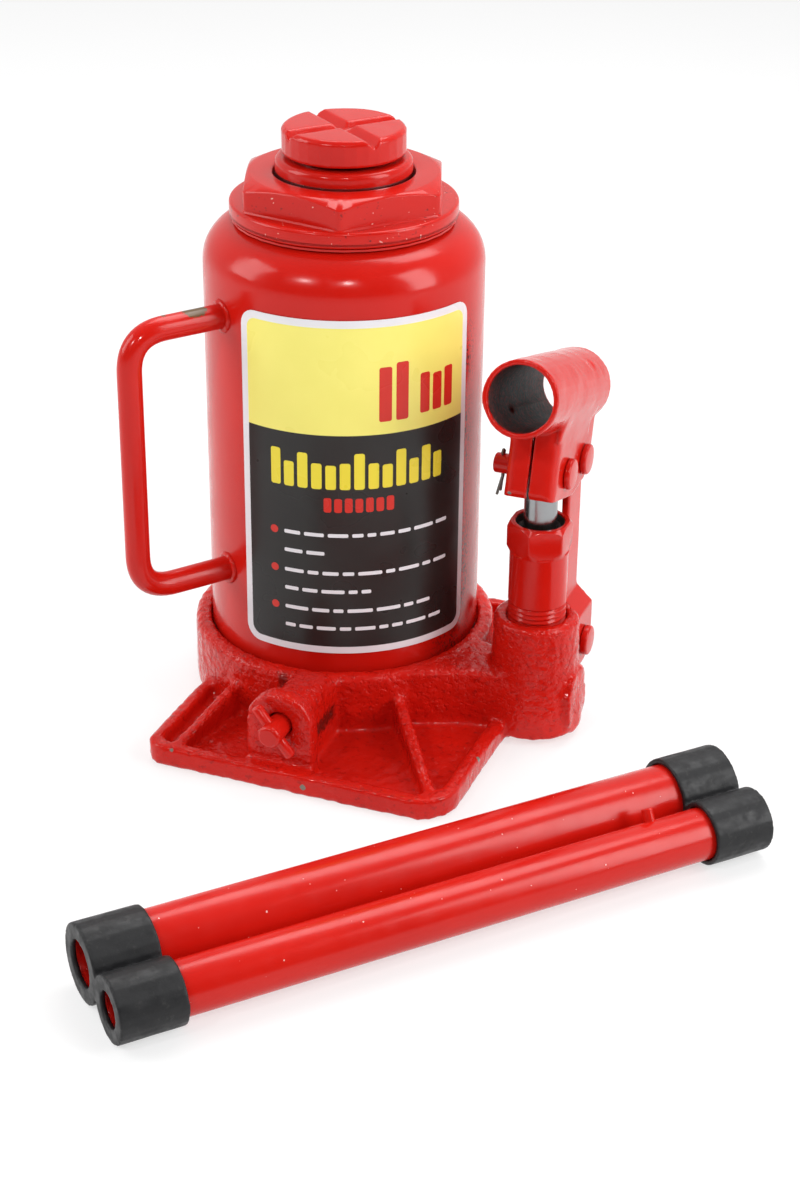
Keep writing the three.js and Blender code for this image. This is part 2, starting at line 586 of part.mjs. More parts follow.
// From the socket's own frame (x across, t along from front to back, d down) to the jack's.
function socketPlace() {
  const { y, z, tilt } = SOCKET;
  const along = new THREE.Vector3(0, Math.cos(tilt), -Math.sin(tilt));
  const down = new THREE.Vector3(0, -Math.sin(tilt), -Math.cos(tilt));
  return new THREE.Matrix4().makeTranslation(PUMP_X, y, z)
    .multiply(new THREE.Matrix4().makeBasis(new THREE.Vector3(1, 0, 0), along, down));
}

// Position of a pivot in the socket's own (t, d) coordinates.
function inSocket(pivot) {
  const point = new THREE.Vector3(PUMP_X, pivot.y, pivot.z).applyMatrix4(socketPlace().invert());
  return [point.y, point.z];
}

function cheekOutline() {
  const [linkT, linkD] = inSocket(LINK_TOP_PIVOT);
  const { lobe } = CHEEK;
  const shape = new THREE.Shape();
  shape.moveTo(CHEEK.front, 8);
  shape.lineTo(linkT + lobe, 8);
  shape.lineTo(linkT + lobe, linkD);
  shape.absarc(linkT, linkD, lobe, 0, 65 * DEG);
  shape.lineTo(18, CHEEK.depth - 1);
  shape.lineTo(15, CHEEK.depth);
  shape.lineTo(CHEEK.front + 2, CHEEK.depth);
  shape.lineTo(CHEEK.front, CHEEK.depth - 2);
  return shape;
}

function handleSocket() {
  const { length, outer, inner } = SOCKET;
  const half = length / 2;
  const toAlong = new THREE.Matrix4().makeRotationX(-Math.PI / 2);
  const tubeOf = (radius, start, end) => moved(disc(radius, start, end, SIDES.middle), toAlong);
  const { outer: x, inner: innerX, front, frontInner, bend, bendInner } = CHEEK;
  const folded = extruded(roundedRectangle(-x, x, front, 60, [bend, bend, 1, 1]), 60, 4);
  const cheeks = acrossX(cheekOutline(), -x, 2 * x, 6).intersect(folded);
  const corners = [bendInner, bendInner, 1, 1];
  const between = shifted(
    extruded(roundedRectangle(-innerX, innerX, frontInner, 70, corners), 50, 3), 0, 0, 10);
  const seam = box(-CHEEK.seam, CHEEK.seam, CHEEK.front - 5, CHEEK.front + 5, outer + 1, 60);
  const pinHole = (pivot) => {
    const [t, d] = inSocket(pivot);
    return rod(pivot.radius + GAP, [-30, t, d], [30, t, d]);
  };
  const skirt = cut(cheeks, between, seam, pinHole(PLUNGER_PIVOT), pinHole(LINK_TOP_PIVOT));
  const lockHole = rod(2.6, [10, 18, -10], [20, 18, -20], 12);
  const body = cut(union(tubeOf(outer, -half, half), skirt), tubeOf(inner, -half - 5, half + 5), lockHole);
  return moved(body, socketPlace());
}

// One side plate of the link: jogged outwards below to pass either side of the casting's lug.
function linkPlate(side) {
  const { inner, outer, jogInner, jogOuter, jogLow, jogHigh } = LINK;
  const low = LINK_LOW_PIVOT;
  const high = LINK_TOP_PIVOT;
  const section = outline([
    [jogInner, low.z - 12], [jogOuter, low.z - 12], [jogOuter, jogLow], [outer, jogHigh], [outer, high.z + 9],
    [inner, high.z + 9], [inner, jogHigh - 1.5], [jogInner, jogLow - 1.5],
  ].map(([x, z]) => [side * x, z]));
  const profile = new THREE.Shape();
  profile.moveTo(high.y + 8, high.z);
  profile.absarc(high.y, high.z, 8, 0, Math.PI);
  profile.lineTo(high.y - 8, 40.5);
  profile.lineTo(low.y - 10.5, low.z + 4);
  profile.absarc(low.y, low.z, 10.5, Math.PI, 2 * Math.PI);
  profile.lineTo(low.y + 10.5, 42);
  profile.lineTo(high.y + 8, 52);
  const plate = acrossY(section, -20, 50).intersect(acrossX(profile, -20, 40, 8));
  return shifted(cut(plate,
    rod(high.radius + LINK_SLACK, [-20, high.y, high.z], [20, high.y, high.z], 20),
    rod(low.radius + GAP, [-20, low.y, low.z], [20, low.y, low.z], 20)), PUMP_X, 0, 0);
}

// A headed pin along X: its head bears on the +X side, its far end has a cross hole for a cotter.
function headedPin(pivot, bearing, { tail, head }) {
  const { radius: headRadius, edge } = PIN_HEAD;
  const under = bearing + GAP;
  const body = revolved([
    [0, tail], [pivot.radius - 0.6, tail], [pivot.radius, tail + 0.6], [pivot.radius, under],
    [headRadius, under], [headRadius, under + head - edge],
    [headRadius - edge, under + head], [0, under + head],
  ], SIDES.small);
  const alongX = new THREE.Matrix4().makeRotationY(Math.PI / 2);
  const hole = rod(COTTER.hole, [tail + COTTER.inset, 0, -10], [tail + COTTER.inset, 0, 10], 10);
  return shifted(cut(moved(body, alongX), hole), PUMP_X, pivot.y, pivot.z);
}

// A bent split pin through the cross hole of a headed pin.
function cotter({ y, z, radius }, { tail }) {
  const x = PUMP_X + tail + COTTER.inset;
  const top = new THREE.Vector3(x, y, z + radius + 2.5);
  const bend = new THREE.Vector3(x, y, z - radius - 2);
  const foot = new THREE.Vector3(x - 2.2, y, z - radius - 9);
  const path = new THREE.CurvePath();
  path.add(new THREE.LineCurve3(top, bend));
  path.add(new THREE.LineCurve3(bend, foot));
  return bentBar(COTTER.radius, path, 6, 8);
}

function pumpBodies() {
  const chamber = [PUMP_X, PUMP_Y];
  const packing = ring(PLUNGER.radius + GAP, PACKING.outer, PACKING.bottom, PACKING.top);
  const seal = ring(PLUNGER_SEAL.inner, SLEEVE.bore - 0.2, PLUNGER_SEAL.bottom, PLUNGER_SEAL.top);
  addPiece(pump, 'pump_cylinder', RED, pumpCylinder());
  addPiece(pump, 'pump_packing', RUBBER, shifted(packing, ...chamber, 0));
  addPiece(pump, 'pump_plunger', STEEL, plunger());
  addPiece(pump, 'plunger_seal', RUBBER, shifted(seal, ...chamber, 0));
  addPiece(pump, 'suction_ball', STEEL, ball(BALL_RADIUS, ...chamber, SUCTION.ballZ));
  addPiece(pump, 'delivery_ball', STEEL, ball(BALL_RADIUS, DELIVERY.x, PUMP_Y, DELIVERY.ballZ));
  addPiece(pump, 'handle_socket', RED, handleSocket());
  addPiece(pump, 'plunger_pin', RED, headedPin(PLUNGER_PIVOT, CHEEK.outer, CHEEK_PIN));
  addPiece(pump, 'plunger_pin_cotter', DARK_STEEL, cotter(PLUNGER_PIVOT, CHEEK_PIN));
  addPiece(pump, 'link_top_pin', RED, headedPin(LINK_TOP_PIVOT, CHEEK.outer, CHEEK_PIN));
  addPiece(pump, 'link_top_cotter', DARK_STEEL, cotter(LINK_TOP_PIVOT, CHEEK_PIN));
  addPiece(pump, 'link_plate_right', RED, linkPlate(1));
  addPiece(pump, 'link_plate_left', RED, linkPlate(-1));
  addPiece(pump, 'link_low_pin', RED, headedPin(LINK_LOW_PIVOT, LINK.jogOuter, LOW_PIN));
  addPiece(pump, 'link_low_cotter', DARK_STEEL, cotter(LINK_LOW_PIVOT, LOW_PIN));
}

// ---------- release valve and overload valve ----------

function crossPin(radius, length) {
  const { y, slope } = CROSS_PIN;
  const dx = length / 2 * Math.cos(slope);
  const dz = length / 2 * Math.sin(slope);
  return rod(radius, [RELEASE.x - dx, y, RELEASE.z + dz], [RELEASE.x + dx, y, RELEASE.z - dz], 14);
}

// A solid of revolution laid along Y, its start at the spindle's outer end.
function alongSpindle(body) {
  const inward = new THREE.Matrix4().makeRotationX(-Math.PI / 2);
  return shifted(moved(body, inward), RELEASE.x, RELEASE.end, RELEASE.z);
}

function releaseSpindle() {
  const { spindle, end } = RELEASE;
  const { root, grooveLow, grooveHigh } = RELEASE_PACKING;
  const length = RELEASE_BALL_Y - BALL_RADIUS - GAP - end;
  const stem = revolved([
    [0, 0], [spindle - 0.8, 0], [spindle, 0.8], [spindle, grooveLow], [root, grooveLow], [root, grooveHigh],
    [spindle, grooveHigh], [spindle, length - 3], [2, length], [0, length],
  ], SIDES.small);
  return cut(alongSpindle(stem), crossPin(CROSS_PIN.radius + GAP, 30));
}

function valveSpring() {
  const { x, z, spring, wire, turns, springStart, springEnd } = OVERLOAD;
  const steps = 8 * turns;
  const points = Array.from({ length: steps + 1 }, (_, i) => {
    const share = i / steps;
    const angle = share * turns * 2 * Math.PI;
    const y = springStart + share * (springEnd - springStart);
    return new THREE.Vector3(x + spring * Math.cos(angle), y, z + spring * Math.sin(angle));
  });
  return bentBar(wire, new THREE.CatmullRomCurve3(points), steps, 6);
}

function overloadScrew() {
  const { x, z, screw, screwOuter, screwLength, hexKey, hexDepth } = OVERLOAD;
  const body = cut(disc(screw, 0, screwLength, 16), disc(hexKey, -1, hexDepth, 6));
  const outward = new THREE.Matrix4().makeTranslation(x, screwOuter, z)
    .multiply(new THREE.Matrix4().makeRotationX(Math.PI / 2));
  return moved(body, outward);
}

function valveBodies() {
  const { x, z, bore } = RELEASE;
  const { root, grooveLow, grooveHigh } = RELEASE_PACKING;
  const packing = ring(root + GAP, bore - GAP, grooveLow + GAP, grooveHigh - GAP);
  addPiece(release, 'release_spindle', RED, releaseSpindle());
  addPiece(release, 'release_cross_pin', RED, crossPin(CROSS_PIN.radius, CROSS_PIN.length));
  addPiece(release, 'release_packing', RUBBER, alongSpindle(packing));
  addPiece(release, 'release_ball', STEEL, ball(BALL_RADIUS, x, RELEASE_BALL_Y, z));
  addPiece(release, 'overload_ball', STEEL, ball(OVERLOAD.ball, OVERLOAD.x, OVERLOAD.ballY, OVERLOAD.z));
  addPiece(release, 'overload_spring', STEEL, valveSpring());
  addPiece(release, 'overload_screw', DARK_STEEL, overloadScrew());
}

// ---------- pump handle ----------

// From the handle's own frame (s along, side across, z up) to the jack's.
function handlePlace() {
  return new THREE.Matrix4().makeRotationZ(HANDLE.turn);
}

function alongHandle(body) {
  const lying = new THREE.Matrix4().makeRotationY(Math.PI / 2);
  return moved(body, lying);
}

function axisHeight(tube) {
  return tube.radius + CAP.wall;
}

function handleTube(tube, ...holes) {
  const { start, end } = HANDLE;
  const pipe = alongHandle(ring(tube.radius - tube.wall, tube.radius, start, end, TUBE_SIDES));
  return moved(cut(shifted(pipe, 0, tube.side, axisHeight(tube)), ...holes), handlePlace());
}

function studBar(radius, from, to) {
  const { along, lean } = STUD;
  const centre = axisHeight(SMALL_TUBE);
  const point = (r) => [along, SMALL_TUBE.side + r * Math.sin(lean), centre + r * Math.cos(lean)];
  return rod(radius, point(from), point(to), 12);
}

// A double cap: two joined cups whose floors have a round opening over each tube's bore.
function handleCap(face, inward) {
  const { wall, length, lip } = CAP;
  const cup = (tube, radius, from, to) => {
    const lying = alongHandle(disc(radius, Math.min(from, to), Math.max(from, to), TUBE_SIDES + 4));
    return shifted(lying, 0, tube.side, axisHeight(tube));
  };
  const tubes = [LARGE_TUBE, SMALL_TUBE];
  const shells = tubes.map((tube) => cup(tube, tube.radius + wall, face, face + inward * length));
  const bores = tubes.map((tube) => cup(tube, tube.radius + GAP, face + inward * lip, face + inward * 60));
  const mouths = tubes.map((tube) => cup(tube, tube.hole, face - inward * 5, face + inward * 5));
  return moved(cut(union(...shells), ...bores, ...mouths), handlePlace());
}

function handleBodies() {
  const { start, end } = HANDLE;
  const offset = CAP.lip + GAP;
  addPiece(pumpHandle, 'handle_tube_large', RED, handleTube(LARGE_TUBE));
  addPiece(pumpHandle, 'handle_tube_small', RED, handleTube(SMALL_TUBE, studBar(STUD.radius + GAP, 5, 12)));
  addPiece(pumpHandle, 'handle_lock_stud', RED,
    moved(studBar(STUD.radius, SMALL_TUBE.radius - 2.5, SMALL_TUBE.radius + STUD.rise), handlePlace()));
  addPiece(pumpHandle, 'handle_cap_near', CAP_BLACK, handleCap(start - offset, 1));
  addPiece(pumpHandle, 'handle_cap_far', CAP_BLACK, handleCap(end + offset, -1));
}

baseBody();
liftBodies();
pumpBodies();
valveBodies();
handleBodies();

export default jack;
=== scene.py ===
"""Looks of a hydraulic bottle jack and its loose pump handle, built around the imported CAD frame.

Lengths are in millimetres inside this script and are scaled to metres when a mesh is made.
The frame's origin is on the tank's axis at the floor: -Y is the release-valve side, +X the pump side.
"""

import math
import random

import bmesh
import bpy
import numpy as np
from mathutils import Matrix, Vector, noise


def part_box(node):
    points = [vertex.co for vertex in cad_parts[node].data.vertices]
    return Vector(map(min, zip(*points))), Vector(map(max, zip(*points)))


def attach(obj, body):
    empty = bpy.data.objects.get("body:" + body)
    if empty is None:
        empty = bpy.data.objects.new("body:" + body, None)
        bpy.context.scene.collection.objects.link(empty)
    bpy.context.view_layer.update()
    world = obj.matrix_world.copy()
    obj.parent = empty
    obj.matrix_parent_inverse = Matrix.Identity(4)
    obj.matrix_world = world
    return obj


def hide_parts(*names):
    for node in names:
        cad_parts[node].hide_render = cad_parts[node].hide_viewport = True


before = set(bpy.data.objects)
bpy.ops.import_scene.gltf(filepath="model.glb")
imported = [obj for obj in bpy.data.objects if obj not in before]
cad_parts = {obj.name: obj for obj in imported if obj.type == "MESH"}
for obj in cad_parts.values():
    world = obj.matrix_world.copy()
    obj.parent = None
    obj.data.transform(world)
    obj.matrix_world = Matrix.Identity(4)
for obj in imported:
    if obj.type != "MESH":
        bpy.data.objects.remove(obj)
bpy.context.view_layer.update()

MM = 0.001
TAU = 2 * math.pi


def node_box(node):
    """Lowest and highest corner of a CAD node, in millimetres."""
    low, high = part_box(node)
    return np.array(low) / MM, np.array(high) / MM


def node_middle(node):
    low, high = node_box(node)
    return (low + high) / 2


# ---------- dimensions taken from the frame ----------

TANK_LOW, TANK_HIGH = node_box("tank")
TANK_RADIUS = TANK_HIGH[1]
TANK_WALL = 3.0
SHOULDER_RADIUS = 16.0
NUT_HIGH = node_box("top_nut")[1]
FLANGE_RADIUS = NUT_HIGH[0]
SCREW_LOW, SCREW_HIGH = node_box("extension_screw")
PUMP_X, PUMP_Y = node_middle("pump_plunger")[:2]


# ---------- mesh building ----------


def circle_angles(segments):
    return np.arange(segments) * TAU / segments


def ring_points(radius, z, segments):
    """One ring of points about Z; radius and z are numbers or arrays with one value per segment."""
    angles = circle_angles(segments)
    ones = np.ones(segments)
    return np.stack([radius * np.cos(angles) * ones, radius * np.sin(angles) * ones, z * ones], axis=1)


def loft(rings, closed=False, caps=True):
    """Faces between successive rings of equal length; ends are capped, or the last joins the first."""
    count = len(rings[0])
    vertices = np.concatenate(rings)
    faces = []
    steps = len(rings) if closed else len(rings) - 1
    for k in range(steps):
        a = k * count
        b = ((k + 1) % len(rings)) * count
        for i in range(count):
            j = (i + 1) % count
            faces.append((a + i, a + j, b + j, b + i))
    if caps and not closed:
        faces.append(tuple(range(count))[::-1])
        faces.append(tuple((len(rings) - 1) * count + i for i in range(count)))
    return vertices, faces


def rounded(points, steps=4):
    """A polyline whose (x, y, radius) corners are rounded by arcs; a point without radius stays sharp."""
    result = []
    for k, point in enumerate(points):
        radius = point[2] if len(point) > 2 else 0
        here = Vector(point[:2])
        if not radius or k in (0, len(points) - 1):
            result.append(tuple(here))
            continue
        before = Vector(points[k - 1][:2]) - here
        after = Vector(points[k + 1][:2]) - here
        half = before.angle(after) / 2
        reach = min(radius / math.tan(half), before.length * 0.49, after.length * 0.49)
        if before.length > 2 * reach and after.length > 2 * reach:
            reach = radius / math.tan(half)
        spread = reach * math.tan(half)
        middle = (before.normalized() + after.normalized()).normalized()
        centre = here + middle * spread / math.sin(half)
        start = here + before.normalized() * reach - centre
        end = here + after.normalized() * reach - centre
        sweep = math.pi - 2 * half
        for i in range(steps + 1):
            t = i / steps
            spoke = (start * math.sin((1 - t) * sweep) + end * math.sin(t * sweep)) / math.sin(sweep)
            result.append(tuple(centre + spoke))
    return result


def lathe(profile, segments=128, closed=False, steps=4):
    """A solid of revolution from (r, z[, fillet]) points, from bottom to top or round a closed section."""
    if closed:
        start = ((profile[0][0] + profile[-1][0]) / 2, (profile[0][1] + profile[-1][1]) / 2)
        profile = [start, *profile, start]
    points = rounded(profile, steps)
    if closed:
        points = points[:-1]
    rings = [ring_points(max(r, 1e-3), z, segments) for r, z in points]
    return loft(rings, closed=closed)


def bar_rings(path, radius, segments=32):
    """Rings about a polyline path, kept from twisting; radius is one number or one per point."""
    path = [Vector(p) for p in path]
    radii = radius if hasattr(radius, "__len__") else [radius] * len(path)
    rings = []
    side = None
    for k, point in enumerate(path):
        ahead = path[min(k + 1, len(path) - 1)] - path[max(k - 1, 0)]
        ahead.normalize()
        if side is None:
            side = ahead.orthogonal().normalized()
        side = (side - ahead * side.dot(ahead)).normalized()
        other = ahead.cross(side)
        spokes = [side * math.cos(a) + other * math.sin(a) for a in circle_angles(segments)]
        rings.append(np.array([point + spoke * radii[k] for spoke in spokes]))
    return rings


def placed(geometry, matrix):
    vertices, faces = geometry
    rotation = np.array(matrix.to_3x3())
    return vertices @ rotation.T + np.array(matrix.translation), faces


def shifted(geometry, x, y, z):
    return geometry[0] + np.array([x, y, z]), geometry[1]


def joined(*parts):
    vertices = []
    faces = []
    start = 0
    for part_vertices, part_faces in parts:
        vertices.append(np.asarray(part_vertices, float))
        faces.extend(tuple(i + start for i in face) for face in part_faces)
        start += len(part_vertices)
    return np.concatenate(vertices), faces


def make_mesh(name, geometry, sharp=35):
    """A Blender mesh in metres, facing outwards, smooth except across edges sharper than the angle."""
    vertices, faces = geometry
    mesh = bpy.data.meshes.new(name)
    mesh.from_pydata([tuple(v) for v in np.asarray(vertices) * MM], [], faces)
    bm = bmesh.new()
    bm.from_mesh(mesh)
    bmesh.ops.remove_doubles(bm, verts=bm.verts, dist=1e-7)
    bmesh.ops.recalc_face_normals(bm, faces=bm.faces)
    bm.to_mesh(mesh)
    bm.free()
    finish_shading(mesh, sharp)
    return mesh


def finish_shading(mesh, sharp):
    mesh.shade_smooth()
    mesh.set_sharp_from_angle(angle=math.radians(sharp))


def piece(name, mesh, body, material, replaces=()):
    """Adds a mesh as a piece that rides on a CAD body."""
    item = bpy.data.objects.new(name, mesh)
    bpy.context.scene.collection.objects.link(item)
    materials = material if isinstance(material, (list, tuple)) else [material]
    for entry in materials:
        mesh.materials.append(entry)
    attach(item, body)
    if replaces:
        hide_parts(*replaces)
    return item


def remeshed(name, geometry_meshes, voxel, smoothing):
    """One skin over several closed meshes, with its edges softened, as thick paint does."""
    bm = bmesh.new()
    for mesh in geometry_meshes:
        bm.from_mesh(mesh)
    whole = bpy.data.meshes.new(name)
    bm.to_mesh(whole)
    bm.free()
    item = bpy.data.objects.new(name, whole)
    bpy.context.scene.collection.objects.link(item)
    remesh = item.modifiers.new("skin", "REMESH")
    remesh.mode = "VOXEL"
    remesh.voxel_size = voxel * MM
    smooth = item.modifiers.new("soften", "SMOOTH")
    smooth.factor = 0.5
    smooth.iterations = smoothing
    result = applied(item)
    bpy.data.objects.remove(item)
    return result


def relaxed(mesh, weight_of, rounds):
    """Rounds off part of a skin by more smoothing; weight_of gives 0 to 1 at a point in millimetres."""
    item = bpy.data.objects.new("relaxed", mesh)
    bpy.context.scene.collection.objects.link(item)
    group = item.vertex_groups.new(name="soft")
    for vertex in mesh.vertices:
        weight = weight_of(vertex.co / MM)
        if weight > 0:
            group.add([vertex.index], weight, "REPLACE")
    smooth = item.modifiers.new("relax", "SMOOTH")
    smooth.factor = 0.5
    smooth.iterations = rounds
    smooth.vertex_group = group.name
    result = applied(item)
    bpy.data.objects.remove(item)
    return result


def applied(item):
    """The mesh of an object with its modifiers applied."""
    bpy.context.view_layer.update()
    evaluated = item.evaluated_get(bpy.context.evaluated_depsgraph_get())
    return bpy.data.meshes.new_from_object(evaluated)


# ---------- dimensions of the visible detail ----------

AXIS = 0.001                        # radius that stands for a point on the axis of a turned piece
TANK_MOUTH = 38.5
NUT_CORNER = 42.3
NUT_TURN = -70                      # degrees from X of one corner of the nut
NUT_FLANGE_LOW = 196.0
NUT_FLANGE_TOP = 202.2
NUT_BORE = 26.8
RAM_RADIUS = 26.0
RAM_PISTON = 27.6                   # radius of the piston at the ram's foot
RAM_PISTON_TOP = 44.0
RAM_WELL = 101.0                    # floor of the well that the extension screw stands in
RAM_BORE = 18.4
SCREW_RADIUS = 18.0
SCREW_PITCH = 6.0
SCREW_THREAD_DEPTH = 1.9
SCREW_CORE = 0.85                   # how far the saddle head's core is drawn in under the thread
SCREW_HEAD_LOW = 219.7
SLEEVE_RADIUS = 11.4
SLEEVE_BORE = 6.8
SLEEVE_CORNER = 13.0
SLEEVE_TURN = -90.6                 # degrees from X of one corner of the sleeve's hexagon
SLEEVE_HEX_LOW = 77.0
SLEEVE_CUP = 9.4
SLEEVE_CUP_DEPTH = 4.5
SLEEVE_THREAD_LOW = 49.0
SLEEVE_THREAD_PITCH = 2.0
SLEEVE_THREAD_DEPTH = 0.85
PLUNGER_RADIUS = 6.4
LINK_PIN_Y = 5.5                    # of the link plates' lower pin
BAR_RADIUS = 4.75                   # of the carry handle
CARRY_TURN = math.radians(36)       # from -Y towards -X
CARRY_REACH = 93.0
CARRY_LOW = 60.0
CARRY_HIGH = 165.0
CARRY_BEND = 15.0
SOCKET_TILT = math.radians(16.2)
SOCKET_CENTRE = Vector((PUMP_X, -11.2, 140.9))
SOCKET_BORE = 13.0                  # what lies inside this radius is painted as the bore
SOCKET_BORE_HALF = 34.5             # half the length of the bore
PIN_HEAD_RADIUS = 6.0
SPLIT_PIN_WIRE = 0.55
RELEASE_X = 11.5
RELEASE_Z = 24.5
RELEASE_RADIUS = 4.5
RELEASE_ARCH = 13.5                 # radius of the release boss's face plate
BAR_CENTRE_Y = -98.5                # of the release valve's cross bar
BAR_SLOPE = math.radians(53)
BAR_HALF = 11.8
BAR_THICKNESS = 2.25                # its radius
HANDLE_TURN = math.radians(48.8)
HANDLE_START = -176.7
HANDLE_END = 70.7
LARGE_TUBE = {"side": -164.5, "radius": 11.95, "wall": 1.6, "height": 14.15}
SMALL_TUBE = {"side": -188.6, "radius": 9.6, "wall": 1.5, "height": 11.8}
LABEL_INNER = 54.3                  # radius of the label's back
LABEL_BACKING = LABEL_INNER + 0.26
LABEL_FIELD = LABEL_INNER + 0.31
LABEL_PRINT_BACK = LABEL_INNER + 0.2
LABEL_INK = LABEL_INNER + 0.36
LABEL_BORDER = 3.2                  # width of the white border
LABEL_EDGE = 2.9                    # its height at the top and the bottom
LABEL_SPLIT = 127.5                 # height at which yellow meets black
LABEL_LOW = 35.5
LABEL_HIGH = 172.8
LABEL_MIDDLE = 28.8                 # degrees from -Y towards +X
LABEL_HALF = 50.8


# ---------- materials ----------


class Graph:
    """A material under construction: adds nodes and links them to the Principled shader."""

    def __init__(self, name, colour, roughness, metallic=0.0, ior=1.45):
        self.material = bpy.data.materials.new(name)
        self.material.use_nodes = True
        self.tree = self.material.node_tree
        self.shader = self.tree.nodes["Principled BSDF"]
        self.shader.inputs["Base Color"].default_value = (*colour, 1)
        self.shader.inputs["Roughness"].default_value = roughness
        self.shader.inputs["Metallic"].default_value = metallic
        self.shader.inputs["IOR"].default_value = ior
        self.colour = None
        self.place = self.add("ShaderNodeTexCoord").outputs["Object"]

    def add(self, kind, settings=None, **inputs):
        node = self.tree.nodes.new(kind)
        for name, value in (settings or {}).items():
            setattr(node, name, value)
        for name, value in inputs.items():
            self.join(node.inputs[name.replace("_", " ")], value)
        return node

    def join(self, socket, value):
        if isinstance(value, bpy.types.NodeSocket):
            self.tree.links.new(value, socket)
        else:
            socket.default_value = value

    def noise(self, size, detail=3.0, roughness=0.55, place=None):
        """Noise from 0 to 1 whose features are about size millimetres across."""
        node = self.add(
            "ShaderNodeTexNoise", Vector=place or self.place, Scale=1 / (size * MM), Detail=detail,
            Roughness=roughness)
        return node.outputs["Fac"]

    def stretched(self, turn, scale):
        """Coordinates along axes turned about Z, in which a pattern is drawn out by scale."""
        node = self.add(
            "ShaderNodeMapping", {"vector_type": "TEXTURE"}, Vector=self.place, Rotation=(0, 0, turn),
            Scale=scale)
        return node.outputs["Vector"]

    def between(self, value, low, high, out_low=0.0, out_high=1.0):
        node = self.add(
            "ShaderNodeMapRange", {"interpolation_type": "SMOOTHSTEP"}, Value=value, From_Min=low,
            From_Max=high, To_Min=out_low, To_Max=out_high)
        return node.outputs["Result"]

    def math(self, operation, first, second):
        node = self.add("ShaderNodeMath", {"operation": operation})
        self.join(node.inputs[0], first)
        self.join(node.inputs[1], second)
        return node.outputs[0]

    def product(self, *values):
        result = values[0]
        for value in values[1:]:
            result = self.math("MULTIPLY", result, value)
        return result

    def vector_math(self, operation, first, second=None):
        node = self.add("ShaderNodeVectorMath", {"operation": operation})
        self.join(node.inputs[0], first)
        if second is not None:
            self.join(node.inputs[1], second)
        return node

    def from_point(self, centre):
        """Coordinates measured from a point given in millimetres."""
        return self.vector_math("SUBTRACT", self.place, tuple(c * MM for c in centre)).outputs[0]

    def mix(self, factor, first, second):
        node = self.add("ShaderNodeMix", {"data_type": "RGBA"})
        self.join(node.inputs[0], factor)
        self.join(node.inputs[6], first)
        self.join(node.inputs[7], second)
        return node.outputs[2]

    def paint(self, colour):
        self.colour = colour
        self.join(self.shader.inputs["Base Color"], colour)

    def vary(self, factor, first, second):
        """Base colour that wanders between two colours."""
        self.paint(self.mix(factor, (*first, 1), (*second, 1)))

    def spot(self, centre, radius, colour, ragged=0.35, stretch=(1, 1, 1)):
        """A worn patch: its mask is a distance from a point with a ragged edge."""
        scaled = self.vector_math("MULTIPLY", self.from_point(centre), stretch)
        length = self.vector_math("LENGTH", scaled.outputs[0])
        rough = self.math("MULTIPLY", self.noise(radius * 0.5, 2), ragged * 2 * radius * MM)
        distance = self.math("ADD", length.outputs["Value"], rough)
        reach = radius * MM * (1 + ragged)
        mask = self.between(distance, reach * 0.96, reach * 1.04, 1.0, 0.0)
        self.paint(self.mix(mask, self.colour, (*colour, 1)))

    def painted_crevice_shade(self, centre, radius, width):
        """Painted shade in a ring round a line along Y, ragged at both edges, that darkens a crevice where
        shade falls.
        """
        axes = self.add("ShaderNodeSeparateXYZ", Vector=self.from_point(centre))
        flat = self.add("ShaderNodeCombineXYZ", X=axes.outputs["X"], Z=axes.outputs["Z"])
        length = self.vector_math("LENGTH", flat.outputs[0])
        wander = self.math("SUBTRACT", self.noise(2.2, 3, 0.7), 0.5)
        ragged = self.math("MULTIPLY", wander, width * 1.6 * MM)
        distance = self.math("ADD", length.outputs["Value"], ragged)
        outside = self.between(distance, (radius - width) * MM, (radius - 0.4 * width) * MM)
        inside = self.between(distance, (radius + 0.6 * width) * MM, (radius + 0.1 * width) * MM)
        behind_front = self.between(axes.outputs["Y"], -0.012, -0.009)
        before_back = self.between(axes.outputs["Y"], 0.014, 0.010)
        mask = self.product(outside, inside, behind_front, before_back, 0.85)
        # the dark red ring is painted shade of the crevice
        self.paint(self.mix(mask, self.colour, (0.06, 0.006, 0.004, 1)))

    def relief(self, *layers):
        """Bumps from (height, depth in millimetres) layers, one on top of the other."""
        below = None
        for height, depth in layers:
            bump = self.add("ShaderNodeBump", Strength=1.0, Distance=depth * MM, Height=height)
            if below:
                self.join(bump.inputs["Normal"], below)
            below = bump.outputs["Normal"]
        self.join(self.shader.inputs["Normal"], below)

    def gloss(self, factor, low, high):
        self.join(self.shader.inputs["Roughness"], self.between(factor, 0.3, 0.7, low, high))


RED = (0.60, 0.011, 0.005)
RED_DEEP = (0.48, 0.006, 0.003)
RED_CAST = (0.62, 0.011, 0.005)
RED_CAST_DEEP = (0.46, 0.006, 0.003)
PRIMER_BROWN = (0.13, 0.075, 0.030)
PRIMER_GREY = (0.16, 0.17, 0.15)
IRON = (0.20, 0.17, 0.14)


def enamel(name):
    """Glossy sprayed enamel over smooth steel."""
    g = Graph(name, RED, 0.2, ior=1.37)
    g.vary(g.noise(45, 2), RED, RED_DEEP)
    g.gloss(g.noise(9, 3), 0.13, 0.24)
    g.relief((g.noise(2.4, 2), 0.022), (g.noise(30, 2), 0.12), (g.noise(0.5, 2), 0.004))
    return g


def red_enamel():
    """Enamel of the small parts and the carry handle, with its worn patch."""
    g = enamel("red_enamel")
    g.spot((-38.5, -53.0, 169.5), 2.6, PRIMER_BROWN, stretch=(0.55, 0.55, 1))
    g.spot((-46.0, -63.0, 169.0), 1.1, PRIMER_BROWN)
    g.spot((80.0, -33.5, 107.0), 1.0, PRIMER_GREY)
    return g.material


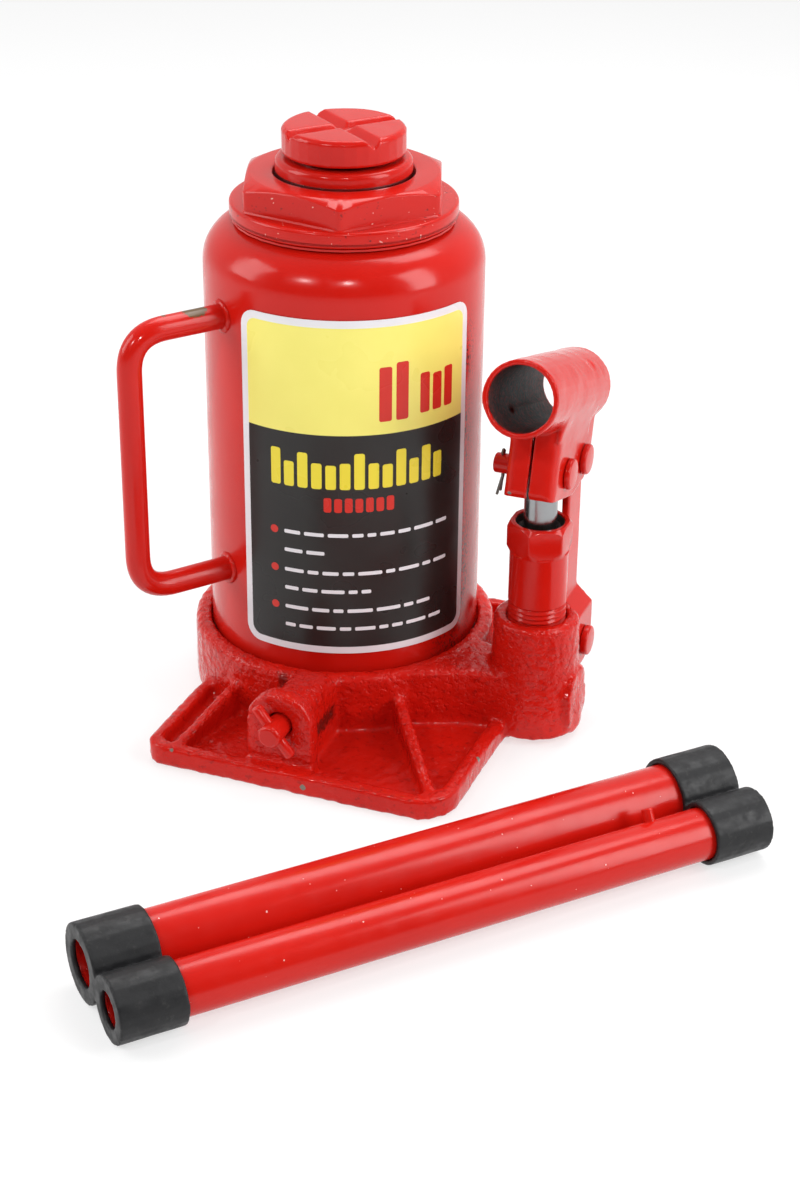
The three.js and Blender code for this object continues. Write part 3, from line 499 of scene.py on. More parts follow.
def red_tank():
    """Enamel of the tank: one chip, and dark overspray grit down its pump side."""
    g = enamel("red_tank_enamel")
    g.spot((5.2, -51.5, 180), 1.5, PRIMER_GREY)
    axes = g.add("ShaderNodeSeparateXYZ", Vector=g.place)
    side = g.between(axes.outputs["X"], 0.044, 0.053)
    front = g.between(axes.outputs["Y"], 0.004, -0.008)
    below = g.between(axes.outputs["Z"], 0.172, 0.150)
    patches = g.between(g.noise(28, 2), 0.3, 0.55)
    grit = g.between(g.noise(1.1, 3, 0.7), 0.50, 0.60)
    mask = g.product(side, front, below, patches, grit)
    g.paint(g.mix(mask, g.colour, (0.035, 0.012, 0.010, 1)))
    return g.material


def red_forged():
    """Enamel of the big nut: painted shade of small pits on its sides, and pale flecks along its edges that
    are partly paint chips and partly painted glints.
    """
    g = enamel("red_forged_enamel")
    axes = g.add("ShaderNodeSeparateXYZ", Vector=g.place)
    side = g.between(axes.outputs["Z"], 0.2120, 0.2105)
    # pale flecks: partly paint chips, partly painted glints
    chips_and_painted_glints = g.math("MULTIPLY", g.between(g.noise(1.3, 1, 0.4), 0.755, 0.775), side)
    g.paint(g.mix(chips_and_painted_glints, g.colour, (0.72, 0.42, 0.36, 1)))
    # dark pits: painted shade in small pits on the sides
    pits = g.math("MULTIPLY", g.between(g.noise(1.6, 2), 0.34, 0.24), side)
    g.paint(g.mix(pits, g.colour, (0.10, 0.006, 0.005, 1)))
    return g.material


def red_cast():
    """The same paint over a sand casting: coarse on the walls, smoother on the foot's floor."""
    g = Graph("red_cast_paint", RED_CAST, 0.2, ior=1.33)
    g.vary(g.noise(16, 4), RED_CAST, RED_CAST_DEEP)
    # painted shade: dark patches that stand for the shade in the casting's hollows
    painted_hollow_shade = g.between(g.noise(2.4, 3, 0.6), 0.30, 0.44, 1.0, 0.0)
    g.paint(g.mix(g.math("MULTIPLY", painted_hollow_shade, 0.4), g.colour, (0.16, 0.003, 0.003, 1)))
    g.spot((-31.0, -100.4, 8.0), 1.0, IRON)
    g.spot((24.0, -100.4, 4.0), 1.2, IRON)
    g.spot((80.5, -62.0, 7.5), 1.1, IRON)
    # painted shade in the crevice where the release boss meets the collar
    g.painted_crevice_shade((RELEASE_X, -72.0, RELEASE_Z), RELEASE_ARCH, 4.0)
    axes = g.add("ShaderNodeSeparateXYZ", Vector=g.place)
    wall = g.between(axes.outputs["Z"], 0.006, 0.013, 0.30, 1.0)
    coarse = g.math("MULTIPLY", g.noise(3.0, 2, 0.55), wall)
    pits = g.math("MULTIPLY", g.between(g.noise(2.0, 2, 0.5), 0.30, 0.50), wall)
    grain = g.math("MULTIPLY", g.noise(0.9, 3, 0.6), wall)
    g.gloss(g.noise(3, 3), 0.09, 0.20)
    g.relief((coarse, 0.60), (pits, 0.22), (grain, 0.03))
    return g.material


def red_tube():
    """Paint on drawn tube: faint rings round it and small pale specks."""
    g = Graph("red_tube_paint", RED, 0.25, ior=1.37)
    g.vary(g.noise(30, 3), RED, RED_DEEP)
    specks = g.between(g.noise(1.5, 1, 0.4), 0.785, 0.80)
    g.paint(g.mix(specks, g.colour, (0.75, 0.50, 0.45, 1)))
    rings = g.noise(1.6, 2, 0.5, place=g.stretched(HANDLE_TURN, (1, 25, 25)))
    g.gloss(g.noise(6, 3), 0.19, 0.27)
    g.relief((rings, 0.02), (g.noise(2.2, 2), 0.014))
    return g.material


def red_dusty():
    """Thin paint inside the socket's bore, dull and speckled with dirt."""
    g = Graph("red_dusty_paint", (0.06, 0.012, 0.01), 0.6, ior=1.4)
    dirt = g.between(g.noise(1.5, 4, 0.7), 0.40, 0.56)
    g.vary(dirt, (0.16, 0.012, 0.010), (0.022, 0.010, 0.009))
    g.relief((g.noise(1.4, 4, 0.7), 0.12))
    return g.material


def bright_steel():
    """Ground rod: fine rings of scratches and an oily film."""
    g = Graph("bright_steel", (0.33, 0.34, 0.35), 0.25, metallic=1.0)
    g.vary(g.noise(14, 3), (0.36, 0.37, 0.38), (0.25, 0.25, 0.25))
    fine = g.noise(0.25, 2, 0.5, place=g.stretched(0, (16, 16, 1)))
    g.gloss(g.noise(12, 3), 0.19, 0.28)
    g.relief((fine, 0.004))
    return g.material


def dark_steel():
    g = Graph("dark_steel", (0.20, 0.19, 0.18), 0.45, metallic=0.9)
    g.vary(g.noise(3, 4), (0.24, 0.23, 0.22), (0.12, 0.10, 0.08))
    g.gloss(g.noise(1.5, 3), 0.32, 0.6)
    g.relief((g.noise(0.8, 3), 0.04))
    return g.material


def copper_metal():
    g = Graph("copper_ring", (0.72, 0.32, 0.18), 0.35, metallic=1.0)
    g.vary(g.noise(4, 3), (0.74, 0.34, 0.20), (0.45, 0.20, 0.12))
    g.relief((g.noise(1, 3), 0.02))
    return g.material


def rubber():
    g = Graph("rubber", (0.018, 0.018, 0.018), 0.7)
    g.vary(g.noise(5, 3), (0.020, 0.020, 0.020), (0.032, 0.031, 0.030))
    g.gloss(g.noise(2, 3), 0.55, 0.8)
    g.relief((g.noise(0.6, 3), 0.03))
    return g.material


def cap_plastic():
    """Soft matte plastic with a fine grain and a little dust."""
    g = Graph("cap_plastic", (0.010, 0.010, 0.010), 0.5, ior=1.4)
    dust = g.between(g.noise(2.5, 4, 0.7), 0.55, 0.75)
    g.vary(dust, (0.008, 0.008, 0.009), (0.024, 0.023, 0.023))
    g.gloss(g.noise(4, 3), 0.38, 0.58)
    g.relief((g.noise(0.7, 3), 0.035), (g.noise(7, 2), 0.12))
    return g.material


def print_film(name, colour, second):
    """Printed plastic film: ink that varies a little under a smooth surface."""
    g = Graph(name, colour, 0.3, ior=1.4)
    g.vary(g.noise(12, 2), colour, second)
    g.gloss(g.noise(20, 2), 0.26, 0.36)
    g.relief((g.noise(5, 2), 0.02))
    return g.material


ENAMEL = red_enamel()
TANK_RED = red_tank()
FORGED = red_forged()
CAST = red_cast()
TUBE_RED = red_tube()
DUSTY = red_dusty()
STEEL = bright_steel()
DARK = dark_steel()
COPPER = copper_metal()
RUBBER = rubber()
CAP = cap_plastic()
FILM_WHITE = print_film("film_white", (0.80, 0.80, 0.83), (0.72, 0.72, 0.75))
FILM_YELLOW = print_film("film_yellow", (0.91, 0.84, 0.20), (0.86, 0.79, 0.17))
FILM_BLACK = print_film("film_black", (0.014, 0.012, 0.011), (0.020, 0.018, 0.017))
FILM_RED = print_film("film_red", (0.66, 0.030, 0.018), (0.58, 0.022, 0.014))
FILM_PRINT_YELLOW = print_film("film_print_yellow", (0.86, 0.74, 0.05), (0.80, 0.66, 0.04))


# ---------- surfaces made from the frame ----------


def ramp(value, start, end):
    """0 at start, 1 at end, straight between; start may be the larger."""
    return min(max((value - start) / (end - start), 0.0), 1.0)


def frame_mesh(*nodes):
    return [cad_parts[node].data.copy() for node in nodes]


def roughened(mesh, layers, low, high, still=()):
    """Moves each vertex along its normal by layers of (size, height) noise, kept inside a box.

    still lists upright cylinders (x, y, radius, bottom) inside which nothing moves."""
    count = len(mesh.vertices)
    points = np.empty(count * 3)
    normals = np.empty(count * 3)
    mesh.vertices.foreach_get("co", points)
    mesh.vertices.foreach_get("normal", normals)
    points = points.reshape(-1, 3)
    normals = normals.reshape(-1, 3)
    moves = np.zeros(count)
    for size, height in layers:
        scaled = points / (size * MM)
        moves += height * MM * np.array([noise.noise(Vector(p)) for p in scaled])
    for cylinder in still:
        x, y, radius, bottom = (value * MM for value in cylinder)
        away = np.hypot(points[:, 0] - x, points[:, 1] - y)
        moves[(away < radius) & (points[:, 2] > bottom)] = 0
    points = points + normals * moves[:, None]
    points = np.clip(points, np.array(low) * MM, np.array(high) * MM)
    mesh.vertices.foreach_set("co", points.ravel())
    mesh.update()


def skinned(node, voxel, smoothing, layers=(), extra=(), sharp=50, still=()):
    """A CAD node as one soft skin with rounded edges and an uneven surface, inside the node's own box."""
    mesh = remeshed(node + "_skin", frame_mesh(node) + list(extra), voxel, smoothing)
    low, high = node_box(node)
    roughened(mesh, layers, low, high, still)
    finish_shading(mesh, sharp)
    return mesh


# ---------- base casting ----------


def base_casting():
    """The casting's rough skin, left smooth where the plunger and the link plates move inside it."""
    pump_well = (PUMP_X, PUMP_Y, 13.0, 20.0)
    link_slots = (PUMP_X, LINK_PIN_Y, 23.0, 18.0)
    mesh = skinned(
        "base_casting", 0.95, 9, layers=((8.0, 0.30), (2.8, 0.28)), sharp=80, still=(pump_well, link_slots))
    piece("base_casting_skin", mesh, "base", CAST, ["base_casting"])


# ---------- tank, label and nut ----------


def tank():
    wall = TANK_RADIUS - TANK_WALL
    low = TANK_LOW[2]
    high = TANK_HIGH[2]
    profile = [
        (wall, low), (TANK_RADIUS, low, 0.6), (TANK_RADIUS, high, SHOULDER_RADIUS), (TANK_MOUTH, high),
        (TANK_MOUTH, high - TANK_WALL), (wall, high - TANK_WALL, SHOULDER_RADIUS - TANK_WALL)]
    mesh = make_mesh("tank_shell", lathe(profile, 192, closed=True, steps=12))
    piece("tank_shell", mesh, "base", TANK_RED, ["tank"])


def curved_panel(left, right, low, high, corner, inner, outer):
    """A thin panel bent round the tank; its sides are degrees from -Y towards +X, its corners rounded."""
    width = math.radians(right - left) * inner
    corner = min(corner, width / 2.01, (high - low) / 2.01)
    rounding = [corner * (1 - math.cos(k * math.pi / 12)) for k in range(7)]
    straight = np.linspace(corner, width - corner, max(2, int(width / 1.2)))[1:-1]
    stations = rounding + list(straight) + [width - s for s in reversed(rounding)]
    rings = []
    for station in stations:
        inset = min(station, width - station)
        sag = 0.0
        if inset < corner:
            sag = corner - math.sqrt(max(corner ** 2 - (corner - inset) ** 2, 0))
        angle = math.radians(left - 90) + station / inner
        aim = np.array([math.cos(angle), math.sin(angle)])
        rings.append(np.array([
            (*(aim * outer), low + sag), (*(aim * outer), high - sag),
            (*(aim * inner), high - sag), (*(aim * inner), low + sag)]))
    return loft(rings)


def bar_row(left, right, low, high, count, shares):
    """A row of upright bars that stands in for a line of large print."""
    step = (right - left) / count
    panels = []
    for k in range(count):
        start = left + k * step
        top = low + (high - low) * shares[k % len(shares)]
        panels.append(curved_panel(start, start + step * 0.74, low, top, 0.9, LABEL_PRINT_BACK, LABEL_INK))
    return panels


def dash_lines(dice, left, right, middles):
    """Rows of short dashes of random length that stand in for small print."""
    height = 1.5
    gap = 1.6
    panels = []
    for middle, share in middles:
        start = left
        limit = left + (right - left) * share
        while start < limit - 3:
            end = min(start + dice.uniform(3.5, 10.5), limit)
            low = middle - height / 2
            panels.append(curved_panel(start, end, low, low + height, 0.5, LABEL_PRINT_BACK, LABEL_INK))
            start = end + gap
    return panels


def label():
    """The printed film: a white backing, two fields of colour, and bars and dashes instead of print."""
    dice = random.Random(12)
    left = LABEL_MIDDLE - LABEL_HALF
    right = LABEL_MIDDLE + LABEL_HALF
    inside = (left + LABEL_BORDER, right - LABEL_BORDER)
    low = LABEL_LOW + LABEL_EDGE
    high = LABEL_HIGH - LABEL_EDGE
    under = LABEL_INNER + 0.1
    seam = LABEL_FIELD - 0.003      # top of the square strips where the two fields meet
    rows = [(86.3, 1.0), (78.5, 0.25), (70.1, 1.0), (62.3, 0.55), (54.1, 0.93), (46.3, 1.0)]
    uneven = (1.0, 0.68, 0.96, 0.7, 0.66, 0.72, 0.98, 0.7, 0.64)

    backing = curved_panel(left, right, LABEL_LOW, LABEL_HIGH, 6.5, LABEL_INNER, LABEL_BACKING)
    yellow = joined(
        curved_panel(*inside, LABEL_SPLIT + 6, high, 4.0, under, LABEL_FIELD),
        curved_panel(*inside, LABEL_SPLIT, LABEL_SPLIT + 12, 0.05, under, seam))
    black = joined(
        curved_panel(*inside, low, LABEL_SPLIT - 6, 4.0, under, LABEL_FIELD),
        curved_panel(*inside, LABEL_SPLIT - 12, LABEL_SPLIT, 0.05, under, seam))
    rating = bar_row(36, 50, 132.5, 155.5, 2, (0.94, 1.0))
    rating += bar_row(53.5, 71.5, 133.5, 149.5, 3, (1.0, 0.93, 1.0))
    notice = bar_row(14, 43.5, 96.0, 102.0, 7, (1.0, 0.96))
    dots = [
        curved_panel(-8.7, -5.3, z - 1.6, z + 1.6, 1.6, LABEL_PRINT_BACK, LABEL_INK)
        for z, _ in rows[::2]]
    heading = bar_row(-8, 66, 105.5, 120.5, 13, uneven)
    words = dash_lines(dice, -2.5, 68, rows)
    layers = [
        ("label_backing", backing, FILM_WHITE),
        ("label_yellow_field", yellow, FILM_YELLOW),
        ("label_black_field", black, FILM_BLACK),
        ("label_red_print", joined(*rating, *notice, *dots), FILM_RED),
        ("label_yellow_print", joined(*heading), FILM_PRINT_YELLOW),
        ("label_white_print", joined(*words), FILM_WHITE)]
    for number, (title, geometry, film) in enumerate(layers):
        hides = ["front_label"] if number == 0 else []
        piece(title, make_mesh(title, geometry), "base", film, hides)


def hexagon_radii(corner, turn, segments, softness=70):
    """Radius of a hexagon with softened corners, at each of a ring's angles."""
    flat = corner * math.cos(math.pi / 6)
    angles = circle_angles(segments)
    total = np.zeros(segments)
    for k in range(6):
        normal = math.radians(turn + 30 + 60 * k)
        total += np.clip(np.cos(angles - normal) / flat, 0, None) ** softness
    return total ** (-1 / softness)


def chamfered_hexagon(corner, turn, segments, low, high, top_radius, drop):
    """Rings up a hexagon's sides and over its conical top chamfer, from the bottom to the flat top."""
    radii = hexagon_radii(corner, turn, segments)
    slope = drop / (corner - top_radius)
    shoulder = high - np.clip(radii - top_radius, 0, None) * slope
    return [
        ring_points(radii + 0.5, low, segments), ring_points(radii, low + 0.6, segments),
        ring_points(radii, shoulder - 0.5, segments), ring_points(radii - 0.35, shoulder, segments),
        ring_points(np.minimum(radii - 0.4, top_radius), high - 0.05, segments),
        ring_points(np.minimum(radii - 0.4, top_radius) - 0.8, high, segments)]


def top_nut():
    segments = 360
    low = NUT_FLANGE_LOW
    high = NUT_HIGH[2]
    flat = NUT_CORNER * math.cos(math.pi / 6)
    edge = 1.1
    hexagon = chamfered_hexagon(NUT_CORNER, NUT_TURN, segments, NUT_FLANGE_TOP, high, flat - 0.6, 2.8)
    collar = rounded([
        (FLANGE_RADIUS, low + edge), (FLANGE_RADIUS, NUT_FLANGE_TOP, edge),
        (FLANGE_RADIUS - 0.9, NUT_FLANGE_TOP)])
    under = rounded([(NUT_BORE, low), (FLANGE_RADIUS, low, edge), (FLANGE_RADIUS, low + 2)])
    inside = rounded([(NUT_BORE + 4, high), (NUT_BORE, high, 1.0), (NUT_BORE, high - 4)])
    rings = [ring_points(r, z, segments) for r, z in under + collar[:-1]]
    rings += hexagon
    rings += [ring_points(r, z, segments) for r, z in inside]
    mesh = make_mesh("top_nut_skin", loft(rings, closed=True), sharp=32)
    piece("top_nut_skin", mesh, "base", FORGED, ["top_nut"])


# ---------- carry handle ----------


def carry_point(reach, z):
    return Vector((-math.sin(CARRY_TURN) * reach, -math.cos(CARRY_TURN) * reach, z))


def weld_bead(z, dice):
    """A lumpy ring of weld where the bar meets the tank."""
    side = Vector((math.cos(CARRY_TURN), -math.sin(CARRY_TURN), 0))
    outward = carry_point(1, 0)
    rings = []
    count = 40
    for k in range(count):
        angle = k * TAU / count
        aside = (BAR_RADIUS + 0.4) * math.cos(angle)
        up = (BAR_RADIUS + 0.4) * math.sin(angle)
        depth = math.sqrt(TANK_RADIUS ** 2 - aside ** 2)
        centre = outward * depth + side * aside + Vector((0, 0, z + up))
        spoke = (side * math.cos(angle) + Vector((0, 0, 1)) * math.sin(angle)).normalized()
        size = 1.25 + dice.uniform(-0.2, 0.2)
        ring = [centre + (spoke * math.cos(a) + outward * math.sin(a)) * size for a in circle_angles(12)]
        rings.append(np.array(ring))
    return loft(rings, closed=True)


def carry_handle():
    dice = random.Random(5)
    inner = TANK_RADIUS - 0.6
    corners = [(inner, CARRY_HIGH), (CARRY_REACH, CARRY_HIGH), (CARRY_REACH, CARRY_LOW), (inner, CARRY_LOW)]
    path = [carry_point(*corners[0])]
    for before, here, after in zip(corners, corners[1:], corners[2:]):
        start = carry_point(*here) + (carry_point(*before) - carry_point(*here)).normalized() * CARRY_BEND
        end = carry_point(*here) + (carry_point(*after) - carry_point(*here)).normalized() * CARRY_BEND
        for k in range(15):
            t = k / 14
            path.append(start * (1 - t) ** 2 + carry_point(*here) * 2 * t * (1 - t) + end * t ** 2)
    path.append(carry_point(*corners[3]))
    bar = loft(bar_rings(path, BAR_RADIUS, 40))
    beads = [weld_bead(z, dice) for z in (CARRY_LOW, CARRY_HIGH)]
    mesh = make_mesh("carry_handle_bar", joined(bar, *beads), sharp=60)
    piece("carry_handle_bar", mesh, "base", ENAMEL, ["carry_handle"])


# ---------- ram and extension screw ----------


def by_height(mesh, boundary):
    """Gives faces above a height the mesh's first material and those below it the second."""
    for face in mesh.polygons:
        face.material_index = 0 if face.center.z > boundary * MM else 1


def ram():
    """The bright rod, painted only on the end that stands out of the nut at rest."""
    low, high = node_box("ram")
    painted = NUT_HIGH[2] + 0.4
    profile = [
        (RAM_BORE, high[2], 0.5), (RAM_BORE, high[2] - 20), (RAM_BORE, RAM_WELL), (1.0, RAM_WELL),
        (1.0, low[2]), (RAM_PISTON, low[2], 1.0), (RAM_PISTON, RAM_PISTON_TOP, 0.8),
        (RAM_RADIUS, RAM_PISTON_TOP), (RAM_RADIUS, painted), (RAM_RADIUS, high[2], 2.2)]
    mesh = make_mesh("ram_rod", lathe(profile, 160, closed=True))
    item = piece("ram_rod", mesh, "ram", [ENAMEL, STEEL], ["ram"])
    by_height(item.data, painted)


def threaded_rod(radius, depth, pitch, low, high, segments=72):
    """A right-handed V thread as a stack of turned sections, with plain ends."""
    angles = circle_angles(segments) / TAU
    rings = []
    steps = int((high - low) / pitch * 12)
    for k in range(steps + 1):
        z = low + (high - low) * k / steps
        phase = (angles - z / pitch) % 1
        cut = depth * (1 - np.abs(2 * phase - 1)) ** 0.8
        fade = min(1.0, k / 8, (steps - k) / 8)
        rings.append(ring_points(radius - cut * fade, z, segments))
    return loft(rings)


def extension_screw():
    """The grooved saddle head on a slimmer core, and the thread that covers the core."""
    head = remeshed("saddle_head_skin", frame_mesh("extension_screw"), 0.55, 4)
    roughened(head, ((8.0, 0.12),), SCREW_LOW, SCREW_HIGH)
    for vertex in head.vertices:
        if vertex.co.z < (SCREW_HEAD_LOW - 0.5) * MM:
            vertex.co.x *= SCREW_CORE
            vertex.co.y *= SCREW_CORE
    finish_shading(head, 45)
    piece("saddle_head", head, "screw", ENAMEL, ["extension_screw"])
    thread = threaded_rod(SCREW_RADIUS, SCREW_THREAD_DEPTH, SCREW_PITCH, SCREW_LOW[2] + 1, SCREW_HEAD_LOW)
    piece("extension_screw_thread", make_mesh("extension_thread", thread, 50), "screw", STEEL)


# ---------- pump ----------


def sleeve_rings(low, high, segments):
    """Up the sleeve's outside, from its foot over the thread and the hexagon, then down into its cup."""
    root = SLEEVE_RADIUS - SLEEVE_THREAD_DEPTH
    turns = 3
    thread_top = SLEEVE_THREAD_LOW + SLEEVE_THREAD_PITCH * turns
    sleeve = [(SLEEVE_BORE, low), (SLEEVE_RADIUS, low), (SLEEVE_RADIUS, SLEEVE_THREAD_LOW - 0.6)]
    for k in range(turns):
        z = SLEEVE_THREAD_LOW + SLEEVE_THREAD_PITCH * k
        sleeve += [(root, z), (SLEEVE_RADIUS - 0.1, z + 0.75), (SLEEVE_RADIUS - 0.1, z + 1.2)]
    sleeve += [(root, thread_top), (SLEEVE_RADIUS, thread_top + 1), (SLEEVE_RADIUS, SLEEVE_HEX_LOW - 0.4)]
    radii = hexagon_radii(SLEEVE_CORNER, SLEEVE_TURN, segments, 60)
    taper = np.clip(radii - SLEEVE_RADIUS, 0, None)
    rings = [ring_points(r, z, segments) for r, z in sleeve]
    rings += [
        ring_points(SLEEVE_RADIUS + 0.1, SLEEVE_HEX_LOW, segments),
        ring_points(radii - 0.2, SLEEVE_HEX_LOW + 0.4 + taper * 1.3, segments),
        ring_points(radii, SLEEVE_HEX_LOW + 0.9 + taper * 1.3, segments),
        ring_points(radii, high - 0.6 - taper, segments),
        ring_points(radii - 0.3, high - 0.2 - taper, segments),
        ring_points(np.minimum(radii - 0.4, SLEEVE_RADIUS - 0.1), high, segments)]
    cup = rounded([
        (SLEEVE_CUP + 1, high), (SLEEVE_CUP, high, 0.5), (SLEEVE_CUP, high - SLEEVE_CUP_DEPTH, 0.5),
        (SLEEVE_BORE, high - SLEEVE_CUP_DEPTH), (SLEEVE_BORE, high - 12)])
    rings += [ring_points(r, z, segments) for r, z in cup]
    return rings


def pump_cylinder():
    """The threaded sleeve, unpainted inside its cup, and the seal that wipes the plunger there."""
    box_low, box_high = node_box("pump_cylinder")
    high = box_high[2]
    rings = sleeve_rings(box_low[2], high, 240)
    geometry = shifted(loft(rings, closed=True), PUMP_X, PUMP_Y, 0)
    mesh = make_mesh("pump_cylinder_skin", geometry, 32)
    item = piece("pump_cylinder_skin", mesh, "base", [ENAMEL, DARK], ["pump_cylinder"])
    middle = Vector((PUMP_X, PUMP_Y)) * MM
    for face in item.data.polygons:
        deep = face.center.z < (high - 1.2) * MM and face.center.z > (SLEEVE_HEX_LOW + 2) * MM
        near = (face.center.xy - middle).length < (SLEEVE_CUP + 0.2) * MM
        face.material_index = 1 if deep and near else 0
    wiper = lathe([
        (PLUNGER_RADIUS + 0.2, high - 4.4), (SLEEVE_CUP - 0.3, high - 4.4),
        (SLEEVE_CUP - 0.6, high - 3.0, 0.5), (PLUNGER_RADIUS + 0.9, high - 2.3, 0.4),
        (PLUNGER_RADIUS + 0.2, high - 2.9)], 96, closed=True)
    ring_mesh = make_mesh("pump_wiper", shifted(wiper, PUMP_X, PUMP_Y, 0))
    piece("pump_wiper", ring_mesh, "base", RUBBER, ["pump_packing"])


def plunger():
    low, high = node_box("pump_plunger")
    profile = [
        (AXIS, low[2]), (PLUNGER_RADIUS, low[2], 0.8), (PLUNGER_RADIUS, high[2], 1.4), (AXIS, high[2])]
    mesh = make_mesh("plunger_rod", shifted(lathe(profile, 96), PUMP_X, PUMP_Y, 0))
    piece("plunger_rod", mesh, "plunger", STEEL, ["pump_plunger"])


def socket_matrix():
    """From the socket's own frame (x across, y along the bore, z down) to the jack's."""
    along = Vector((0, math.cos(SOCKET_TILT), -math.sin(SOCKET_TILT)))
    down = Vector((0, -math.sin(SOCKET_TILT), -math.cos(SOCKET_TILT)))
    across = Vector((1, 0, 0))
    rotation = Matrix((across, along, down)).transposed().to_4x4()
    return Matrix.Translation(SOCKET_CENTRE) @ rotation


def cheek_fillet(side):
    """A concave wedge that runs the tube's side into one cheek."""
    section = [(9.0, 7.0), (13.6, 4.6), (12.3, 8.2), (11.2, 11.2), (10.5, 14.2), (10.1, 17.5), (9.0, 17.5)]
    rings = [np.array([(side * x, along, down) for x, down in section]) for along in (-11.8, 26.5)]
    return make_mesh("cheek_fillet", placed(loft(rings), socket_matrix()))


def handle_socket():
    """The rolled tube and its cheeks: bent edges are rounded, and the bore is dull inside."""
    wedges = [cheek_fillet(side) for side in (-1, 1)]
    mesh = skinned("handle_socket", 0.5, 5, layers=((9.0, 0.15), (3.0, 0.05)), extra=wedges, sharp=60)
    back = socket_matrix().inverted()

    def bend_weight(point):
        """Where to round: the folds at the cheeks' front, and the blends from the tube into the cheeks."""
        local = back @ point
        below = ramp(local.z, 15, 19) * ramp(local.z, 38.5, 36)
        blend = ramp(local.z, 3, 7) * ramp(local.z, 18, 14) * ramp(abs(local.x), 9.0, 11.5)
        return max(below * ramp(local.y, 0, -5) * ramp(abs(local.x), 3, 6), blend * ramp(local.y, 27, 24))

    mesh = relaxed(mesh, bend_weight, 45)
    finish_shading(mesh, 60)
    item = piece("handle_socket_skin", mesh, "lever", [ENAMEL, DUSTY], ["handle_socket"])
    for face in item.data.polygons:
        local = back @ (face.center / MM)
        inside = math.hypot(local.x, local.z) < SOCKET_BORE and abs(local.y) < SOCKET_BORE_HALF
        face.material_index = 1 if inside else 0


def headed_pin(node, body, radius, thick):
    """A pin with a bevelled head, thick millimetres high, on the +X side of its CAD node's axis."""
    low, high = node_box(node)
    middle = (low + high) / 2
    length = high[0] - low[0]
    shank = length - thick
    profile = [
        (AXIS, 0), (radius, 0, 0.7), (radius, shank), (PIN_HEAD_RADIUS, shank, 0.3),
        (PIN_HEAD_RADIUS, length, 0.9), (AXIS, length)]
    turn = Matrix.Translation((low[0], middle[1], middle[2])) @ Matrix.Rotation(math.pi / 2, 4, "Y")
    mesh = make_mesh(node + "_turned", placed(lathe(profile, 64), turn), 40)
    piece(node + "_turned", mesh, body, ENAMEL, [node])


def split_pin(node, body):
    """A split pin: a closed eye above, two flat legs bent apart below."""
    low, high = node_box(node)
    middle = (low + high) / 2
    x = high[0] - 0.9
    y = middle[1]
    parts = []
    for side in (-1, 1):
        path = [
            Vector((x, y, high[2] - 0.7)),
            Vector((x, y + side * 1.3, high[2] - 1.6)),
            Vector((x, y + side * 0.45, high[2] - 3.2)),
            Vector((x, y + side * 0.45, low[2] + 8)),
            Vector((x - 0.6, y + side * 0.8, low[2] + 5.5)),
            Vector((x - 1.5, y + side * 2.2, low[2] + 0.8))]
        parts.append(loft(bar_rings(path, SPLIT_PIN_WIRE, 10)))
    piece(node + "_bent", make_mesh(node + "_bent", joined(*parts), 50), body, DARK, [node])


def linkage():
    for side in ("right", "left"):
        node = "link_plate_" + side
        mesh = skinned(node, 0.5, 9, layers=((8.0, 0.06),), sharp=60)
        piece(node + "_skin", mesh, "link", ENAMEL, [node])
    headed_pin("plunger_pin", "lever", 3.9, 2.2)
    headed_pin("link_top_pin", "lever", 3.4, 2.2)
    headed_pin("link_low_pin", "base", 3.4, 2.6)
    split_pin("plunger_pin_cotter", "lever")
    split_pin("link_top_cotter", "lever")
    split_pin("link_low_cotter", "base")


# ---------- release valve ----------


def release_valve():
    """The turned spindle and the bar through it, which is bevelled at both ends."""
    low, high = node_box("release_spindle")
    length = high[1] - low[1]
    turn = Matrix.Translation((RELEASE_X, low[1], RELEASE_Z)) @ Matrix.Rotation(-math.pi / 2, 4, "X")
    stem = [
        (AXIS, 0), (RELEASE_RADIUS, 0, 1.6), (RELEASE_RADIUS, length - 3), (2.0, length), (AXIS, length)]
    mesh = make_mesh("release_stem", placed(lathe(stem, 64, steps=6), turn))
    piece("release_stem", mesh, "valve_spindle", ENAMEL, ["release_spindle"])
    axis = Vector((math.cos(BAR_SLOPE), 0, -math.sin(BAR_SLOPE)))
    centre = Vector((RELEASE_X, BAR_CENTRE_Y, RELEASE_Z))
    ends = [(-BAR_HALF, 0.9), (-BAR_HALF + 0.25, 1.7), (-BAR_HALF + 1.0, BAR_THICKNESS)]
    stations = ends + [(-along, radius) for along, radius in reversed(ends)]
    path = [centre + axis * along for along, _ in stations]
    radii = [radius for _, radius in stations]
    bar = make_mesh("release_tommy_bar", loft(bar_rings(path, radii, 32)), 60)
    piece("release_tommy_bar", bar, "valve_spindle", ENAMEL, ["release_cross_pin"])


# ---------- pump handle ----------


def handle_matrix(tube):
    """From a tube's own frame (z along it) to the jack's."""
    along = Matrix.Rotation(HANDLE_TURN, 4, "Z")
    centre = Vector((HANDLE_START, tube["side"], tube["height"]))
    return along @ Matrix.Translation(centre) @ Matrix.Rotation(math.pi / 2, 4, "Y")


def handle_tubes():
    length = HANDLE_END - HANDLE_START
    for name, tube in (("large", LARGE_TUBE), ("small", SMALL_TUBE)):
        inner = tube["radius"] - tube["wall"]
        outer = tube["radius"]
        profile = [(inner, 0, 0.4), (outer, 0, 0.6), (outer, length, 0.6), (inner, length, 0.4)]
        mesh = make_mesh("tube_" + name, placed(lathe(profile, 96, closed=True), handle_matrix(tube)))
        piece("tube_" + name, mesh, "pump_handle", TUBE_RED, ["handle_tube_" + name])


